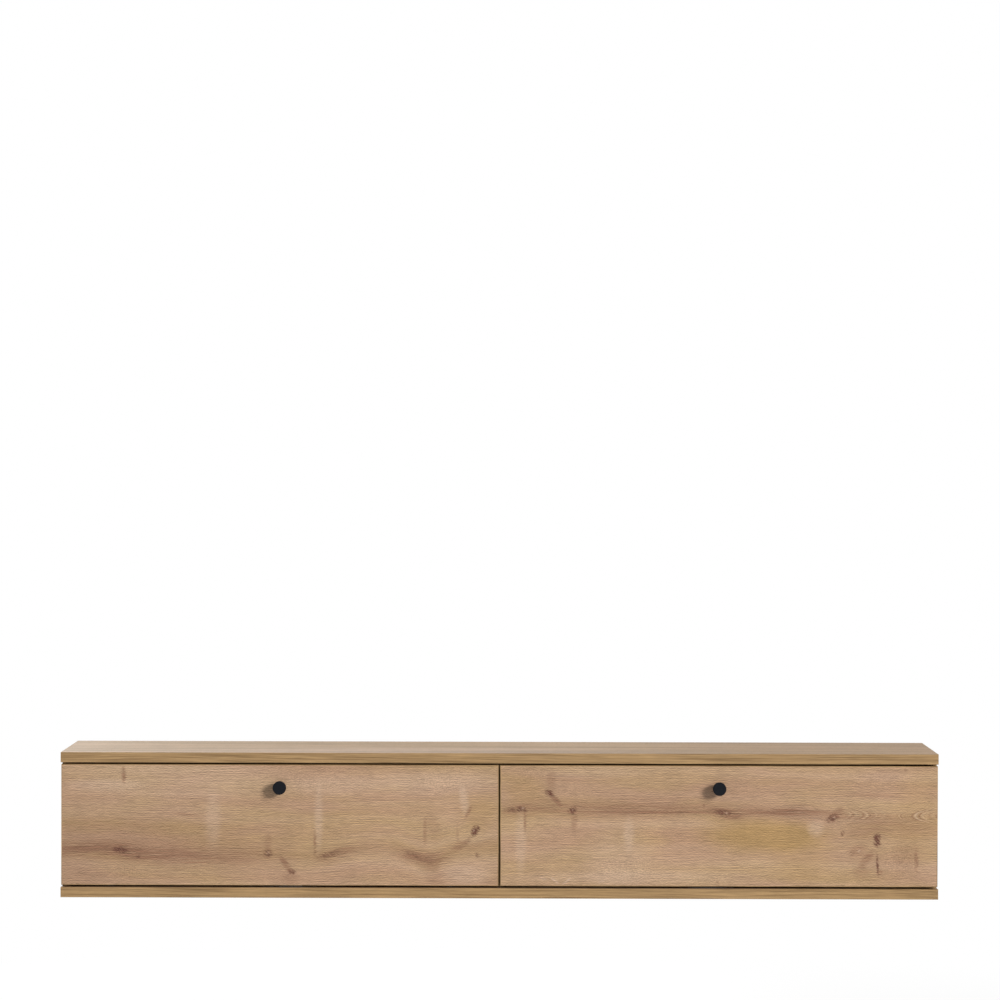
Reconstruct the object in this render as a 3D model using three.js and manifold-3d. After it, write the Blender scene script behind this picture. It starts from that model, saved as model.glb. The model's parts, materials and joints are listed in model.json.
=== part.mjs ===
// A wall-hung media console: a closed oak-decor box with two drop-down flap doors.
// Millimetres, +Z up, front towards -Y. The origin lies on the wall plane, halfway along its width and height.
// Each half is built for the side where x is positive, and the left half is its mirror image.
import * as THREE from "three";
import { mergeVertices } from "three/addons/utils/BufferGeometryUtils.js";
import Module from "manifold-3d";

const wasm = await Module();
wasm.setup();

// Clearances
const seatGap = 0.1; // between flat faces that rest on each other
const fitGap = 0.3; // round a piece that sits in a hole, groove or pocket
const overrun = 2; // how far a cutting tool runs past the face that it opens

// Case
const width = 1800;
const depth = 316; // from the wall to the front faces of the panels and doors
const panelThickness = 21; // top and bottom panels
const boardThickness = 18; // sides and divider
const sideReveal = 1.5; // how far the sides and doors lie inside the ends of the panels
const edgeRadius = 1.5; // rounding of the banded front edges
const backRecess = 18; // from the wall to the back panels
const backThickness = 3;
const grooveDepth = 6;
const outletRadius = 30; // cable outlet in each back panel
const outletHeight = 75; // centre of the outlet above the bay floor

// Flap doors
const doorThickness = 18;
const doorHeight = 248;
const doorTopReveal = 3.5;
const doorBottomReveal = 4.5;
const doorCentreReveal = 3.5;
const doorBackGap = 3; // between the closed door and the front edges of the boards
const pivotAboveEdge = 8; // hinge pin above the door's lower edge
const bumperRadius = 4;
const bumperBelowTop = 25;

// Knob and its screw
const knobRadius = 13.75;
const knobLength = 25;
const knobHeadLength = 11;
const knobStemRadius = 5;
const knobFootRadius = 7;
const knobFootLength = 2;
const knobFlare = 4; // length over which the stem widens into the head
const knobEdge = 1.2; // rounding of the head
const knobBelowTop = 46; // knob centre below the door's top edge
const knobBoreDepth = 12;
const knobScrewRadius = 2;
const knobScrewReach = 10; // screw length inside the knob
const knobScrewHeadRadius = 4;
const knobScrewHeadLength = 2.4;
const knobScrewRecess = 1.4; // depth of the driver recess
const knobScrewRecessRadius = 1.6;

// Cup hinges: the cup is set into the door, and its pin carries the arm's eye
const hingeFromEnd = 100; // hinge centre from the door's end
const cupRadius = 17.5;
const cupDepth = 13.5;
const cupWall = 1;
const cupEdgeDistance = 3; // wood left between the cup and the door's lower edge
const cupFlangeRadius = 18.5;
const cupFlangeThickness = 1;
const cupEarLength = 62;
const cupEarHeight = 20;
const cupEarCorner = 6.5;
const cupEarHoleRadius = 2.5;
const cupEarHoleSpacing = 48;
const pinRadius = 1.25;
const eyeRadius = 2.8;
const armWidth = 10;
const armThickness = 4;
const armRise = 13.2; // centre of the gooseneck above the pin
const armNeckEnd = 26; // where the gooseneck starts to drop, behind the pin
const armDrop = 8; // length of the drop
const armFront = 20; // front of the arm's foot behind the pin
const armBack = 72; // rear of the arm's foot behind the pin
const armFootTop = 6; // top of the foot above the pin
const mountWingLength = 54;
const mountWingDepth = 18;
const mountWingThickness = 2;
const mountWingCorner = 6;
const mountRailWidth = 12;
const mountRailLength = 44;
const mountRailHeight = 6;
const mountHoleRadius = 2.5;
const mountHoleSpacing = 32;
const mountBehindPin = 52; // centre of the mounting plate

// Flap stays: rocker and link form a parallelogram with the door
const stayPivotBehind = 60; // rocker pivot behind and above the hinge pin
const stayPivotAbove = 20;
const doorPinBehind = 23; // the link's pin on the door, behind and above the hinge pin
const doorPinAbove = 90;
const stayPlateThickness = 3;
const stayPlateFront = 12; // plate in front of the rocker pivot
const stayPlateBack = 88; // plate behind the rocker pivot
const stayPlateHeight = 34;
const stayCornerRadius = 8;
const stayBoxStart = 16; // front of the damper box behind the rocker pivot
const stayBoxMargin = 3; // plate left visible round the damper box
const stayBoxThickness = 11;
const stayScrewRadius = 3; // adjusting screw recess in the damper box
const stayScrewDepth = 3;
const leafThickness = 3; // rocker and link
const rockerPivotHalfWidth = 8;
const rockerEndHalfWidth = 6;
const linkHalfWidth = 6;
const studRadius = 3;
const linkPinRadius = 2.5;
const studHeadRadius = 6;
const linkHeadRadius = 4.5;
const headThickness = 1.5;
const bracketInset = 2; // bracket from the side panel
const bracketWidth = 24;
const bracketHalfHeight = 22;
const bracketThickness = 2;
const bracketCorner = 2;
const lugThickness = 3;
const lugHalfHeight = 7;

// Cabinet hangers and their wall plates
const hangerWidth = 18;
const hangerDepth = 58;
const hangerHeight = 42;
const hangerBelowTop = 3;
const hangerScrewRadius = 3.5;
const hangerScrewDepth = 3;
const hangerScrewSpacing = 16;
const hangerCorner = 3;
const hookWidth = 12;
const hookThickness = 3;
const hookBelowHousingTop = 10; // centre of the hook's bar
const hookInHousing = 26;
const hookReach = 15; // from the back panel to the tip of the hook
const hookLip = 11; // how far the lip hangs below the bar
const hookNotchMargin = 3;
const wallPlateWidth = 60;
const wallPlateThickness = 2;
const wallPlateHeight = 52;
const wallPlateInset = 2; // from the side panel
const wallPlateStand = 7; // how far the hooked edge stands off the wall
const wallPlateEdgeHeight = 14;
const wallPlateBend = 8; // height of the slanted part
const wallScrewRadius = 3;
const wallScrewSpacing = 34;

// Cam joints under the top panel
const camRadius = 7.2;
const camLength = 12.3;
const camFromEdge = 24; // cam centre below the board's top edge
const camSlot = 3.2; // half width of the slot for the bolt's head
const camCrossLength = 8;
const camCrossWidth = 1.4;
const camCrossDepth = 2;
const boltHeadRadius = 2.9;
const boltHeadLength = 3;
const boltNeckRadius = 1.6;
const boltNeckLength = 4;
const boltShaftRadius = 3.4;
const boltHoleRadius = 4;
const boltThreadRadius = 2.6;
const boltThreadLength = 11;

// Connecting screws through the bottom panel
const screwLength = 49;
const screwHeadRadius = 5;
const screwHeadLength = 1;
const screwConeLength = 4;
const screwShankRadius = 3.3;
const screwShankLength = 24;
const screwThreadRadius = 2.9;
const screwPointLength = 4;
const screwPointRadius = 1.2;
const screwSunk = 0.5; // head below the panel's underside
const screwHexRadius = 2.2;
const screwHexDepth = 2.5;

// Places of the joints along the depth
const jointFromFront = 50;
const jointFromWall = 100;

// Facets on a round piece, by its size
const fineFacets = 28;
const plainFacets = 16;
const smallFacets = 10;

// Levels and planes that follow from the sizes above
const height = 2 * panelThickness + doorTopReveal + doorHeight + doorBottomReveal;
const undersideZ = -height / 2;
const floorZ = undersideZ + panelThickness;
const ceilingZ = height / 2 - panelThickness;
const frontY = -depth;
const doorBackY = frontY + doorThickness;
const boardFrontY = doorBackY + doorBackGap;
const backFrontY = -backRecess - backThickness;
const sideInner = width / 2 - sideReveal - boardThickness;
const sideOuter = width / 2 - sideReveal;
const doorStart = doorCentreReveal / 2;
const doorBottomZ = floorZ + doorBottomReveal;
const pivotY = frontY + doorThickness / 2;
const pivotZ = doorBottomZ + pivotAboveEdge;
const doorFace = doorBackY - pivotY; // the door's inner face, seen from the pin
const jointPlaces = [boardFrontY + jointFromFront, -jointFromWall];

// Finishes
const finishes = {
  oak: [0xb5936f, 0.62, 0],
  hardboard: [0xc9b18f, 0.8, 0],
  blackMetal: [0x232528, 0.5, 0.6],
  steel: [0xb4b6b8, 0.35, 0.9],
  nickel: [0xc4c2bc, 0.28, 1],
  zinc: [0xd2cdb8, 0.4, 0.9],
  greyPlastic: [0x9a9c9e, 0.6, 0],
  clearRubber: [0xdedede, 0.7, 0],
};

const materials = Object.fromEntries(
  Object.entries(finishes).map(([name, [color, roughness, metalness]]) => [
    name,
    new THREE.MeshStandardMaterial({ name, color, roughness, metalness }),
  ]),
);

// Solids and booleans

function solidOf(geometry) {
  const bare = new THREE.BufferGeometry();
  bare.setAttribute("position", geometry.getAttribute("position"));
  bare.setIndex(geometry.index);
  const merged = mergeVertices(bare);
  return new wasm.Manifold(
    new wasm.Mesh({
      numProp: 3,
      vertProperties: merged.getAttribute("position").array,
      triVerts: new Uint32Array(merged.index.array),
    }),
  );
}

function geometryOf(solid) {
  const mesh = solid.getMesh();
  const geometry = new THREE.BufferGeometry();
  geometry.setAttribute("position", new THREE.BufferAttribute(mesh.vertProperties, mesh.numProp));
  geometry.setIndex(new THREE.BufferAttribute(mesh.triVerts, 1));
  return geometry;
}

function join(...geometries) {
  return geometryOf(geometries.map(solidOf).reduce((whole, piece) => whole.add(piece)));
}

function cut(geometry, ...tools) {
  return geometryOf(tools.map(solidOf).reduce((rest, tool) => rest.subtract(tool), solidOf(geometry)));
}

// A box between two corners.
function block([x0, y0, z0], [x1, y1, z1]) {
  const box = new THREE.BoxGeometry(x1 - x0, y1 - y0, z1 - z0);
  return box.translate((x0 + x1) / 2, (y0 + y1) / 2, (z0 + z1) / 2);
}

// Turns the plane that a shape is drawn in: (y, z) for a prism along X, (x, z) along Y and (x, y) along Z.
const drawnAlong = {
  x: new THREE.Matrix4().set(0, 0, 1, 0, 1, 0, 0, 0, 0, 1, 0, 0, 0, 0, 0, 1),
  y: new THREE.Matrix4().set(1, 0, 0, 0, 0, 0, -1, 0, 0, 1, 0, 0, 0, 0, 0, 1),
  z: new THREE.Matrix4(),
};

// Points on an arc, as many as its share of a whole turn asks for.
function arc(a, b, radius, start, end, facets = plainFacets) {
  const steps = Math.max(1, Math.round(((end - start) / (2 * Math.PI)) * facets));
  return new THREE.EllipseCurve(a, b, radius, radius, start, end).getPoints(steps);
}

function circle(a, b, radius, facets = plainFacets) {
  return arc(a, b, radius, 0, 2 * Math.PI, facets).slice(1);
}

// A shape pulled straight from one plane to another along an axis.
function prism(shape, axis, from, to) {
  const start = axis === "y" ? -Math.max(from, to) : Math.min(from, to);
  return new THREE.ExtrudeGeometry(shape, { depth: Math.abs(to - from), bevelEnabled: false })
    .translate(0, 0, start)
    .applyMatrix4(drawnAlong[axis]);
}

// A round bar along an axis; a and b place it in the plane across that axis.
function rod(radius, axis, from, to, a = 0, b = 0, facets = plainFacets) {
  return prism(new THREE.Shape(circle(a, b, radius, facets)), axis, from, to);
}

// A turned piece about Z from points of radius and height, rising.
function turned(points, facets = plainFacets) {
  return new THREE.LatheGeometry(
    points.map(([radius, z]) => new THREE.Vector2(radius, z)),
    facets,
  ).rotateX(Math.PI / 2);
}

// A rectangle with one corner radius, or four given from the lower left, counterclockwise.
function rectangle(a0, b0, a1, b1, radii) {
  const [lowLeft, lowRight, highRight, highLeft] = Array.isArray(radii) ? radii : Array(4).fill(radii);
  const corners = [
    [a0 + lowLeft, b0 + lowLeft, lowLeft, Math.PI],
    [a1 - lowRight, b0 + lowRight, lowRight, 1.5 * Math.PI],
    [a1 - highRight, b1 - highRight, highRight, 0],
    [a0 + highLeft, b1 - highLeft, highLeft, 0.5 * Math.PI],
  ];
  return new THREE.Shape(
    corners.flatMap(([a, b, radius, start]) =>
      radius ? arc(a, b, radius, start, start + Math.PI / 2, smallFacets) : [new THREE.Vector2(a, b)],
    ),
  );
}

function polygon(points) {
  return new THREE.Shape(points.map(([a, b]) => new THREE.Vector2(a, b)));
}

// A bar with round ends between two points, each end with its own half width.
function bar([ax, ay], ra, [bx, by], rb) {
  const along = Math.atan2(by - ay, bx - ax);
  const lean = Math.acos((ra - rb) / Math.hypot(bx - ax, by - ay));
  return new THREE.Shape([
    ...arc(ax, ay, ra, along + lean, along - lean + 2 * Math.PI),
    ...arc(bx, by, rb, along - lean, along + lean),
  ]);
}

function piece(name, geometry, finish, place = [0, 0, 0]) {
  const mesh = new THREE.Mesh(geometry, materials[finish]);
  mesh.name = name;
  mesh.position.set(...place);
  return mesh;
}

// Fasteners

// A connecting screw standing on its head. As a drill it is grown by a clearance and starts below the panel.
function connectingScrew(grow = 0) {
  const cone = screwHeadLength + screwConeLength;
  const start = grow ? -screwSunk - overrun : 0;
  return turned(
    [
      [0, start],
      [screwHeadRadius + grow, start],
      [screwHeadRadius + grow, screwHeadLength],
      [screwShankRadius + grow, cone],
      [screwShankRadius + grow, screwShankLength],
      [screwThreadRadius + grow, screwShankLength + grow],
      [screwThreadRadius + grow, screwLength - screwPointLength],
      [screwPointRadius + grow, screwLength + grow],
      [0, screwLength + grow],
    ],
    smallFacets,
  );
}

function hexRecess(radius, depthOfRecess) {
  return new THREE.CylinderGeometry(radius, radius, depthOfRecess + overrun, 6)
    .rotateX(Math.PI / 2)
    .translate(0, 0, (depthOfRecess - overrun) / 2);
}

// A cam bolt: its head lies at the cam's centre, and its thread bites into the top panel.
function camBolt() {
  const neckEnd = boltHeadLength / 2 + boltNeckLength;
  const shaftEnd = camFromEdge - seatGap;
  return turned(
    [
      [0, -boltHeadLength / 2],
      [boltHeadRadius, -boltHeadLength / 2],
      [boltHeadRadius, boltHeadLength / 2],
      [boltNeckRadius, boltHeadLength / 2],
      [boltNeckRadius, neckEnd],
      [boltShaftRadius, neckEnd + boltNeckRadius],
      [boltShaftRadius, shaftEnd],
      [boltThreadRadius, shaftEnd],
      [boltThreadRadius, shaftEnd + boltThreadLength],
      [0, shaftEnd + boltThreadLength],
    ],
    smallFacets,
  );
}

// A cam lock, its face at x = 0 and its body towards +x, with the bolt along Z at the middle of the board.
function camLock() {
  const cross = camCrossLength / 2;
  const half = camCrossWidth / 2;
  const slot = block(
    [boardThickness / 2 - camSlot, -camSlot, -camSlot],
    [camLength + overrun, camSlot, camRadius + overrun],
  );
  return cut(
    rod(camRadius, "x", 0, camLength),
    slot,
    block([-overrun, -cross, -half], [camCrossDepth, cross, half]),
    block([-overrun, -half, -cross], [camCrossDepth, half, cross]),
  );
}

// The holes that an upright board needs for its cams and screws; inner is its cam face, middle its mid-plane.
function jointHoles(inner, middle) {
  const camZ = ceilingZ - camFromEdge;
  const pocketStart = inner - overrun;
  const pocketEnd = inner + camLength + fitGap;
  return jointPlaces.flatMap((y) => [
    rod(camRadius + fitGap, "x", pocketStart, pocketEnd, y, camZ),
    rod(boltHoleRadius, "z", camZ, ceilingZ + overrun, middle, y, smallFacets),
    connectingScrew(fitGap).translate(middle, y, undersideZ + screwSunk),
  ]);
}

// Case boards

// The groove that holds a back panel, between two x values and two z values.
function backGroove(x0, x1, z0, z1) {
  return block([x0, backFrontY - fitGap, z0], [x1, -backRecess + fitGap, z1]);
}

// The x of every upright board's mid-plane.
const uprights = [-(sideInner + sideOuter) / 2, 0, (sideInner + sideOuter) / 2];

function panelBlank(z0, z1) {
  const outline = rectangle(frontY, z0, 0, z1, [edgeRadius, 0, 0, edgeRadius]);
  return prism(outline, "x", -width / 2, width / 2);
}

function topPanel() {
  const grooveEnd = sideInner + grooveDepth;
  const holeEnd = ceilingZ + boltThreadLength + fitGap;
  const boltHoles = uprights.flatMap((x) =>
    jointPlaces.map((y) =>
      rod(boltThreadRadius + fitGap, "z", ceilingZ - overrun, holeEnd, x, y, smallFacets),
    ),
  );
  return cut(
    panelBlank(ceilingZ, height / 2),
    backGroove(-grooveEnd, grooveEnd, ceilingZ - overrun, ceilingZ + grooveDepth),
    ...boltHoles,
  );
}

function bottomPanel() {
  const grooveEnd = sideInner + grooveDepth;
  const screwHoles = uprights.flatMap((x) =>
    jointPlaces.map((y) => connectingScrew(fitGap).translate(x, y, undersideZ + screwSunk)),
  );
  return cut(
    panelBlank(undersideZ, floorZ),
    backGroove(-grooveEnd, grooveEnd, floorZ - grooveDepth, floorZ + overrun),
    ...screwHoles,
  );
}

function uprightBoard(x0, x1) {
  return block([x0, boardFrontY, floorZ + seatGap], [x1, 0, ceilingZ - seatGap]);
}

function middleDivider() {
  const half = boardThickness / 2;
  return cut(
    uprightBoard(-half, half),
    backGroove(-half - overrun, -half + grooveDepth, floorZ - overrun, ceilingZ + overrun),
    backGroove(half - grooveDepth, half + overrun, floorZ - overrun, ceilingZ + overrun),
    ...jointHoles(-half, 0),
  );
}

function sidePanel() {
  return cut(
    uprightBoard(sideInner, sideOuter),
    backGroove(sideInner - overrun, sideInner + grooveDepth, floorZ - overrun, ceilingZ + overrun),
    ...jointHoles(sideInner, (sideInner + sideOuter) / 2),
  );
}

const hangerTopZ = ceilingZ - hangerBelowTop;
const hookZ = hangerTopZ - hookBelowHousingTop;
const hookX = sideInner - seatGap - hangerWidth / 2;
const baysMiddle = (boardThickness / 2 + sideInner) / 2;

function backPanel() {
  const x0 = boardThickness / 2 - grooveDepth + fitGap;
  const x1 = sideInner + grooveDepth - fitGap;
  const z0 = floorZ - grooveDepth + fitGap;
  const z1 = ceilingZ + grooveDepth - fitGap;
  const notch = hookWidth / 2 + hookNotchMargin - seatGap;
  const notchTop = hookZ + hookThickness / 2 + hookNotchMargin;
  const notchBottom = hookZ - hookLip - hookNotchMargin;
  const cutStart = backFrontY - overrun;
  const cutEnd = overrun - backRecess;
  return cut(
    block([x0, backFrontY, z0], [x1, -backRecess, z1]),
    rod(outletRadius, "y", cutStart, cutEnd, baysMiddle, floorZ + outletHeight, fineFacets),
    block([hookX - notch, cutStart, notchBottom], [hookX + notch, cutEnd, notchTop]),
  );
}

// Flap door and knob, seen from the hinge pin

const knobX = (doorStart + sideOuter) / 2;
const knobZ = doorHeight - pivotAboveEdge - knobBelowTop;
const cupZ = cupEdgeDistance + cupRadius - pivotAboveEdge;
const hingeXs = { inner: doorStart + hingeFromEnd, outer: sideOuter - hingeFromEnd };

function flapDoor() {
  const half = doorThickness / 2;
  const outline = rectangle(-half, -pivotAboveEdge, half, doorHeight - pivotAboveEdge, edgeRadius);
  const pockets = Object.values(hingeXs).map((x) =>
    rod(cupRadius + fitGap, "y", doorFace - cupDepth - fitGap, doorFace + overrun, x, cupZ, fineFacets),
  );
  const cutEnd = half + overrun;
  const screwHole = rod(knobScrewRadius + fitGap, "y", -cutEnd, cutEnd, knobX, knobZ, smallFacets);
  return cut(prism(outline, "x", doorStart, sideOuter), screwHole, ...pockets);
}

// The knob is turned about its own axis: foot, stem, flare and a head with rounded edges.
function knob() {
  const headStart = knobLength - knobHeadLength;
  const edge = (centreZ, start) =>
    arc(knobRadius - knobEdge, centreZ, knobEdge, start, start + Math.PI / 2, smallFacets).map(
      (point) => [point.x, point.y],
    );
  const body = turned(
    [
      [0, 0],
      [knobFootRadius, 0],
      [knobFootRadius, knobFootLength],
      [knobStemRadius, knobFootLength + (knobFootRadius - knobStemRadius)],
      [knobStemRadius, headStart - knobFlare],
      ...edge(headStart + knobEdge, -Math.PI / 2),
      ...edge(knobLength - knobEdge, 0),
      [0, knobLength],
    ],
    fineFacets,
  );
  const bore = rod(knobScrewRadius + fitGap, "z", -overrun, knobBoreDepth, 0, 0, smallFacets);
  return cut(body, bore).rotateX(Math.PI / 2);
}

// A pan-head screw pointing from the door's inner face into the knob.
function knobScrew() {
  const end = knobScrewHeadLength + seatGap + doorThickness + knobScrewReach;
  const body = turned(
    [
      [0, 0],
      [knobScrewHeadRadius, 0],
      [knobScrewHeadRadius, knobScrewHeadLength],
      [knobScrewRadius, knobScrewHeadLength],
      [knobScrewRadius, end],
      [0, end],
    ],
    smallFacets,
  );
  return cut(body, hexRecess(knobScrewRecessRadius, knobScrewRecess)).rotateX(Math.PI / 2);
}

function bumper() {
  return rod(bumperRadius, "y", doorFace + seatGap, doorFace + doorBackGap - seatGap);
}

// Cup hinge, seen from its pin

function hingeCup() {
  const flange = seatGap + cupFlangeThickness;
  const bore = cupRadius - cupWall;
  const shell = turned(
    [
      [0, -cupDepth],
      [cupRadius, -cupDepth],
      [cupRadius, seatGap],
      [cupFlangeRadius, seatGap],
      [cupFlangeRadius, flange],
      [bore, flange],
      [bore, cupWall - cupDepth],
      [0, cupWall - cupDepth],
    ],
    fineFacets,
  )
    .rotateX(-Math.PI / 2)
    .translate(0, doorFace, cupZ);
  const halfLength = cupEarLength / 2;
  const halfHeight = cupEarHeight / 2;
  const ears = prism(
    rectangle(-halfLength, cupZ - halfHeight, halfLength, cupZ + halfHeight, cupEarCorner),
    "y",
    doorFace + seatGap,
    doorFace + flange,
  );
  const cutEnd = doorFace + flange + overrun;
  const earHoles = [-1, 1].map((side) =>
    rod(cupEarHoleRadius, "y", doorFace, cutEnd, (side * cupEarHoleSpacing) / 2, cupZ, smallFacets),
  );
  const mouth = rod(bore, "y", doorFace, cutEnd, 0, cupZ, fineFacets);
  const pinEnd = Math.sqrt(bore ** 2 - cupZ ** 2) + cupWall / 2;
  return join(shell, cut(ears, mouth, ...earHoles), rod(pinRadius, "x", -pinEnd, pinEnd));
}

function hingeArm() {
  const half = armThickness / 2;
  const foot = floorZ - pivotZ + seatGap + mountRailHeight + seatGap;
  const neck = polygon([
    [-half, 0],
    [half, 0],
    [half, armRise - half],
    [armFront, armRise - half],
    [armFront, foot],
    [armBack, foot],
    [armBack, armFootTop],
    [armNeckEnd + armDrop, armFootTop],
    [armNeckEnd, armRise + half],
    [-half, armRise + half],
  ]);
  const bore = rod(pinRadius + fitGap, "x", -armWidth, armWidth, 0, 0, smallFacets);
  const side = armWidth / 2;
  return cut(join(prism(neck, "x", -side, side), rod(eyeRadius, "x", -side, side)), bore);
}

function hingeMount() {
  const base = floorZ - pivotZ + seatGap;
  const wingTop = base + mountWingThickness;
  const halfLength = mountWingLength / 2;
  const [front, back] = [-1, 1].map((side) => mountBehindPin + (side * mountWingDepth) / 2);
  const wings = prism(rectangle(-halfLength, front, halfLength, back, mountWingCorner), "z", base, wingTop);
  const rail = block(
    [-mountRailWidth / 2, mountBehindPin - mountRailLength / 2, base],
    [mountRailWidth / 2, mountBehindPin + mountRailLength / 2, base + mountRailHeight],
  );
  const cutEnd = wingTop + overrun;
  const holes = [-1, 1].map((side) =>
    rod(mountHoleRadius, "z", base - overrun, cutEnd, (side * mountHoleSpacing) / 2, mountBehindPin),
  );
  return cut(join(wings, rail), ...holes);
}

// Flap stay, seen from the hinge pin; x runs back from the side panel's inner face into the bay

const stayPivot = [stayPivotBehind, stayPivotAbove];
const doorPin = [doorPinBehind, doorPinAbove];
const kneePin = [stayPivotBehind + doorPinBehind, stayPivotAbove + doorPinAbove];

// How far each layer of the stay lies from the side panel
const plateTop = seatGap + stayPlateThickness;
const rockerStart = plateTop + fitGap;
const rockerEnd = rockerStart + leafThickness;
const linkStart = rockerEnd + fitGap;
const linkEnd = linkStart + leafThickness;
const lugStart = linkEnd + fitGap;
const lugEnd = lugStart + lugThickness;

// A stud from one layer to another, with a head beyond it.
function stud(radius, headRadius, from, to, [y, z]) {
  const beyond = to + Math.sign(to - from) * headThickness;
  return join(rod(radius, "x", -from, -to, y, z), rod(headRadius, "x", -to, -beyond, y, z));
}

function stayHousing() {
  const [y, z] = stayPivot;
  const half = stayPlateHeight / 2;
  const plate = prism(
    rectangle(y - stayPlateFront, z - half, y + stayPlateBack, z + half, stayCornerRadius),
    "x",
    -seatGap,
    -plateTop,
  );
  const boxBack = y + stayPlateBack - stayBoxMargin;
  const boxHalf = half - stayBoxMargin;
  const boxCorner = stayCornerRadius - stayBoxMargin;
  const damperBox = prism(
    rectangle(y + stayBoxStart, z - boxHalf, boxBack, z + boxHalf, boxCorner),
    "x",
    -seatGap,
    -seatGap - stayBoxThickness,
  );
  const boxTop = seatGap + stayBoxThickness;
  const screwPlaces = [y + stayBoxStart + boxHalf, boxBack - boxHalf];
  const recesses = screwPlaces.map((at) =>
    rod(stayScrewRadius, "x", stayScrewDepth - boxTop, -boxTop - overrun, at, z, smallFacets),
  );
  const pivotStart = plateTop - stayPlateThickness / 2;
  const pivot = stud(studRadius, studHeadRadius, pivotStart, rockerEnd + fitGap, stayPivot);
  return join(cut(join(plate, damperBox), ...recesses), pivot);
}

function stayRocker() {
  const leaf = bar(stayPivot, rockerPivotHalfWidth, kneePin, rockerEndHalfWidth);
  leaf.holes.push(new THREE.Path(circle(...stayPivot, studRadius + fitGap)));
  const knee = stud(linkPinRadius, linkHeadRadius, rockerEnd - leafThickness / 2, linkEnd + fitGap, kneePin);
  return join(prism(leaf, "x", -rockerStart, -rockerEnd), knee);
}

function stayLink() {
  const leaf = bar(doorPin, linkHalfWidth, kneePin, linkHalfWidth);
  [doorPin, kneePin].forEach((at) =>
    leaf.holes.push(new THREE.Path(circle(...at, linkPinRadius + fitGap))),
  );
  return prism(leaf, "x", -linkStart, -linkEnd);
}

function stayBracket() {
  const [y, z] = doorPin;
  const face = doorFace + seatGap;
  const [low, high] = [z - bracketHalfHeight, z + bracketHalfHeight];
  const base = prism(
    rectangle(-bracketInset - bracketWidth, low, -bracketInset, high, bracketCorner),
    "y",
    face,
    face + bracketThickness,
  );
  const lug = join(
    prism(rectangle(face, z - lugHalfHeight, y, z + lugHalfHeight, 0), "x", -lugStart, -lugEnd),
    rod(lugHalfHeight, "x", -lugStart, -lugEnd, y, z),
  );
  const pin = stud(linkPinRadius, linkHeadRadius, lugStart + lugThickness / 2, linkStart - fitGap, doorPin);
  return join(base, lug, pin);
}

// Cabinet hanger and wall plate

function hangerHousing() {
  const x1 = sideInner - seatGap;
  const back = backFrontY - fitGap;
  const front = back - hangerDepth;
  const outline = rectangle(front, hangerTopZ - hangerHeight, back, hangerTopZ, hangerCorner);
  const slot = block(
    [hookX - hookWidth / 2 - fitGap, back - hookInHousing, hookZ - hookThickness / 2 - fitGap],
    [hookX + hookWidth / 2 + fitGap, back + overrun, hookZ + hookThickness / 2 + fitGap],
  );
  const recesses = [hookZ, hookZ - hangerScrewSpacing].map((z) =>
    rod(hangerScrewRadius, "y", front - overrun, front + hangerScrewDepth, hookX, z, smallFacets),
  );
  return cut(prism(outline, "x", x1 - hangerWidth, x1), slot, ...recesses);
}

function hangerHook() {
  const start = backFrontY - hookInHousing;
  const tip = backFrontY + backThickness + hookReach;
  const top = hookZ + hookThickness / 2;
  const profile = polygon([
    [start, top - hookThickness],
    [tip - hookThickness, top - hookThickness],
    [tip - hookThickness, top - hookThickness - hookLip],
    [tip, top - hookThickness - hookLip],
    [tip, top],
    [start, top],
  ]);
  return prism(profile, "x", hookX - hookWidth / 2, hookX + hookWidth / 2);
}

function wallPlate() {
  const top = hookZ - hookThickness / 2 - fitGap;
  const edge = top - wallPlateEdgeHeight;
  const bend = edge - wallPlateBend;
  const low = top - wallPlateHeight;
  const profile = polygon([
    [-wallPlateThickness, low],
    [0, low],
    [0, bend],
    [-wallPlateStand, edge],
    [-wallPlateStand, top],
    [-wallPlateStand - wallPlateThickness, top],
    [-wallPlateStand - wallPlateThickness, edge],
    [-wallPlateThickness, bend],
  ]);
  const end = sideInner - wallPlateInset;
  const middle = end - wallPlateWidth / 2;
  const holes = [-1, 1].map((side) =>
    rod(
      wallScrewRadius,
      "y",
      -wallPlateThickness - overrun,
      overrun,
      middle + (side * wallScrewSpacing) / 2,
      (low + bend) / 2,
      smallFacets,
    ),
  );
  return cut(prism(profile, "x", end - wallPlateWidth, end), ...holes);
}

// Assembly

// The cam locks, bolts and screws of one upright board; inner is its cam face, middle its mid-plane.
function jointFasteners(label, inner, middle) {
  const fasteners = new THREE.Group();
  ["front", "rear"].forEach((where, i) => {
    const y = jointPlaces[i];
    const screw = cut(connectingScrew(), hexRecess(screwHexRadius, screwHexDepth));
    fasteners.add(
      piece(`cam_lock_${label}_${where}`, camLock(), "zinc", [inner, y, ceilingZ - camFromEdge]),
      piece(`cam_bolt_${label}_${where}`, camBolt(), "steel", [middle, y, ceilingZ - camFromEdge]),
      piece(`case_screw_${label}_${where}`, screw, "steel", [middle, y, undersideZ + screwSunk]),
    );
  });
  return fasteners;
}

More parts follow.
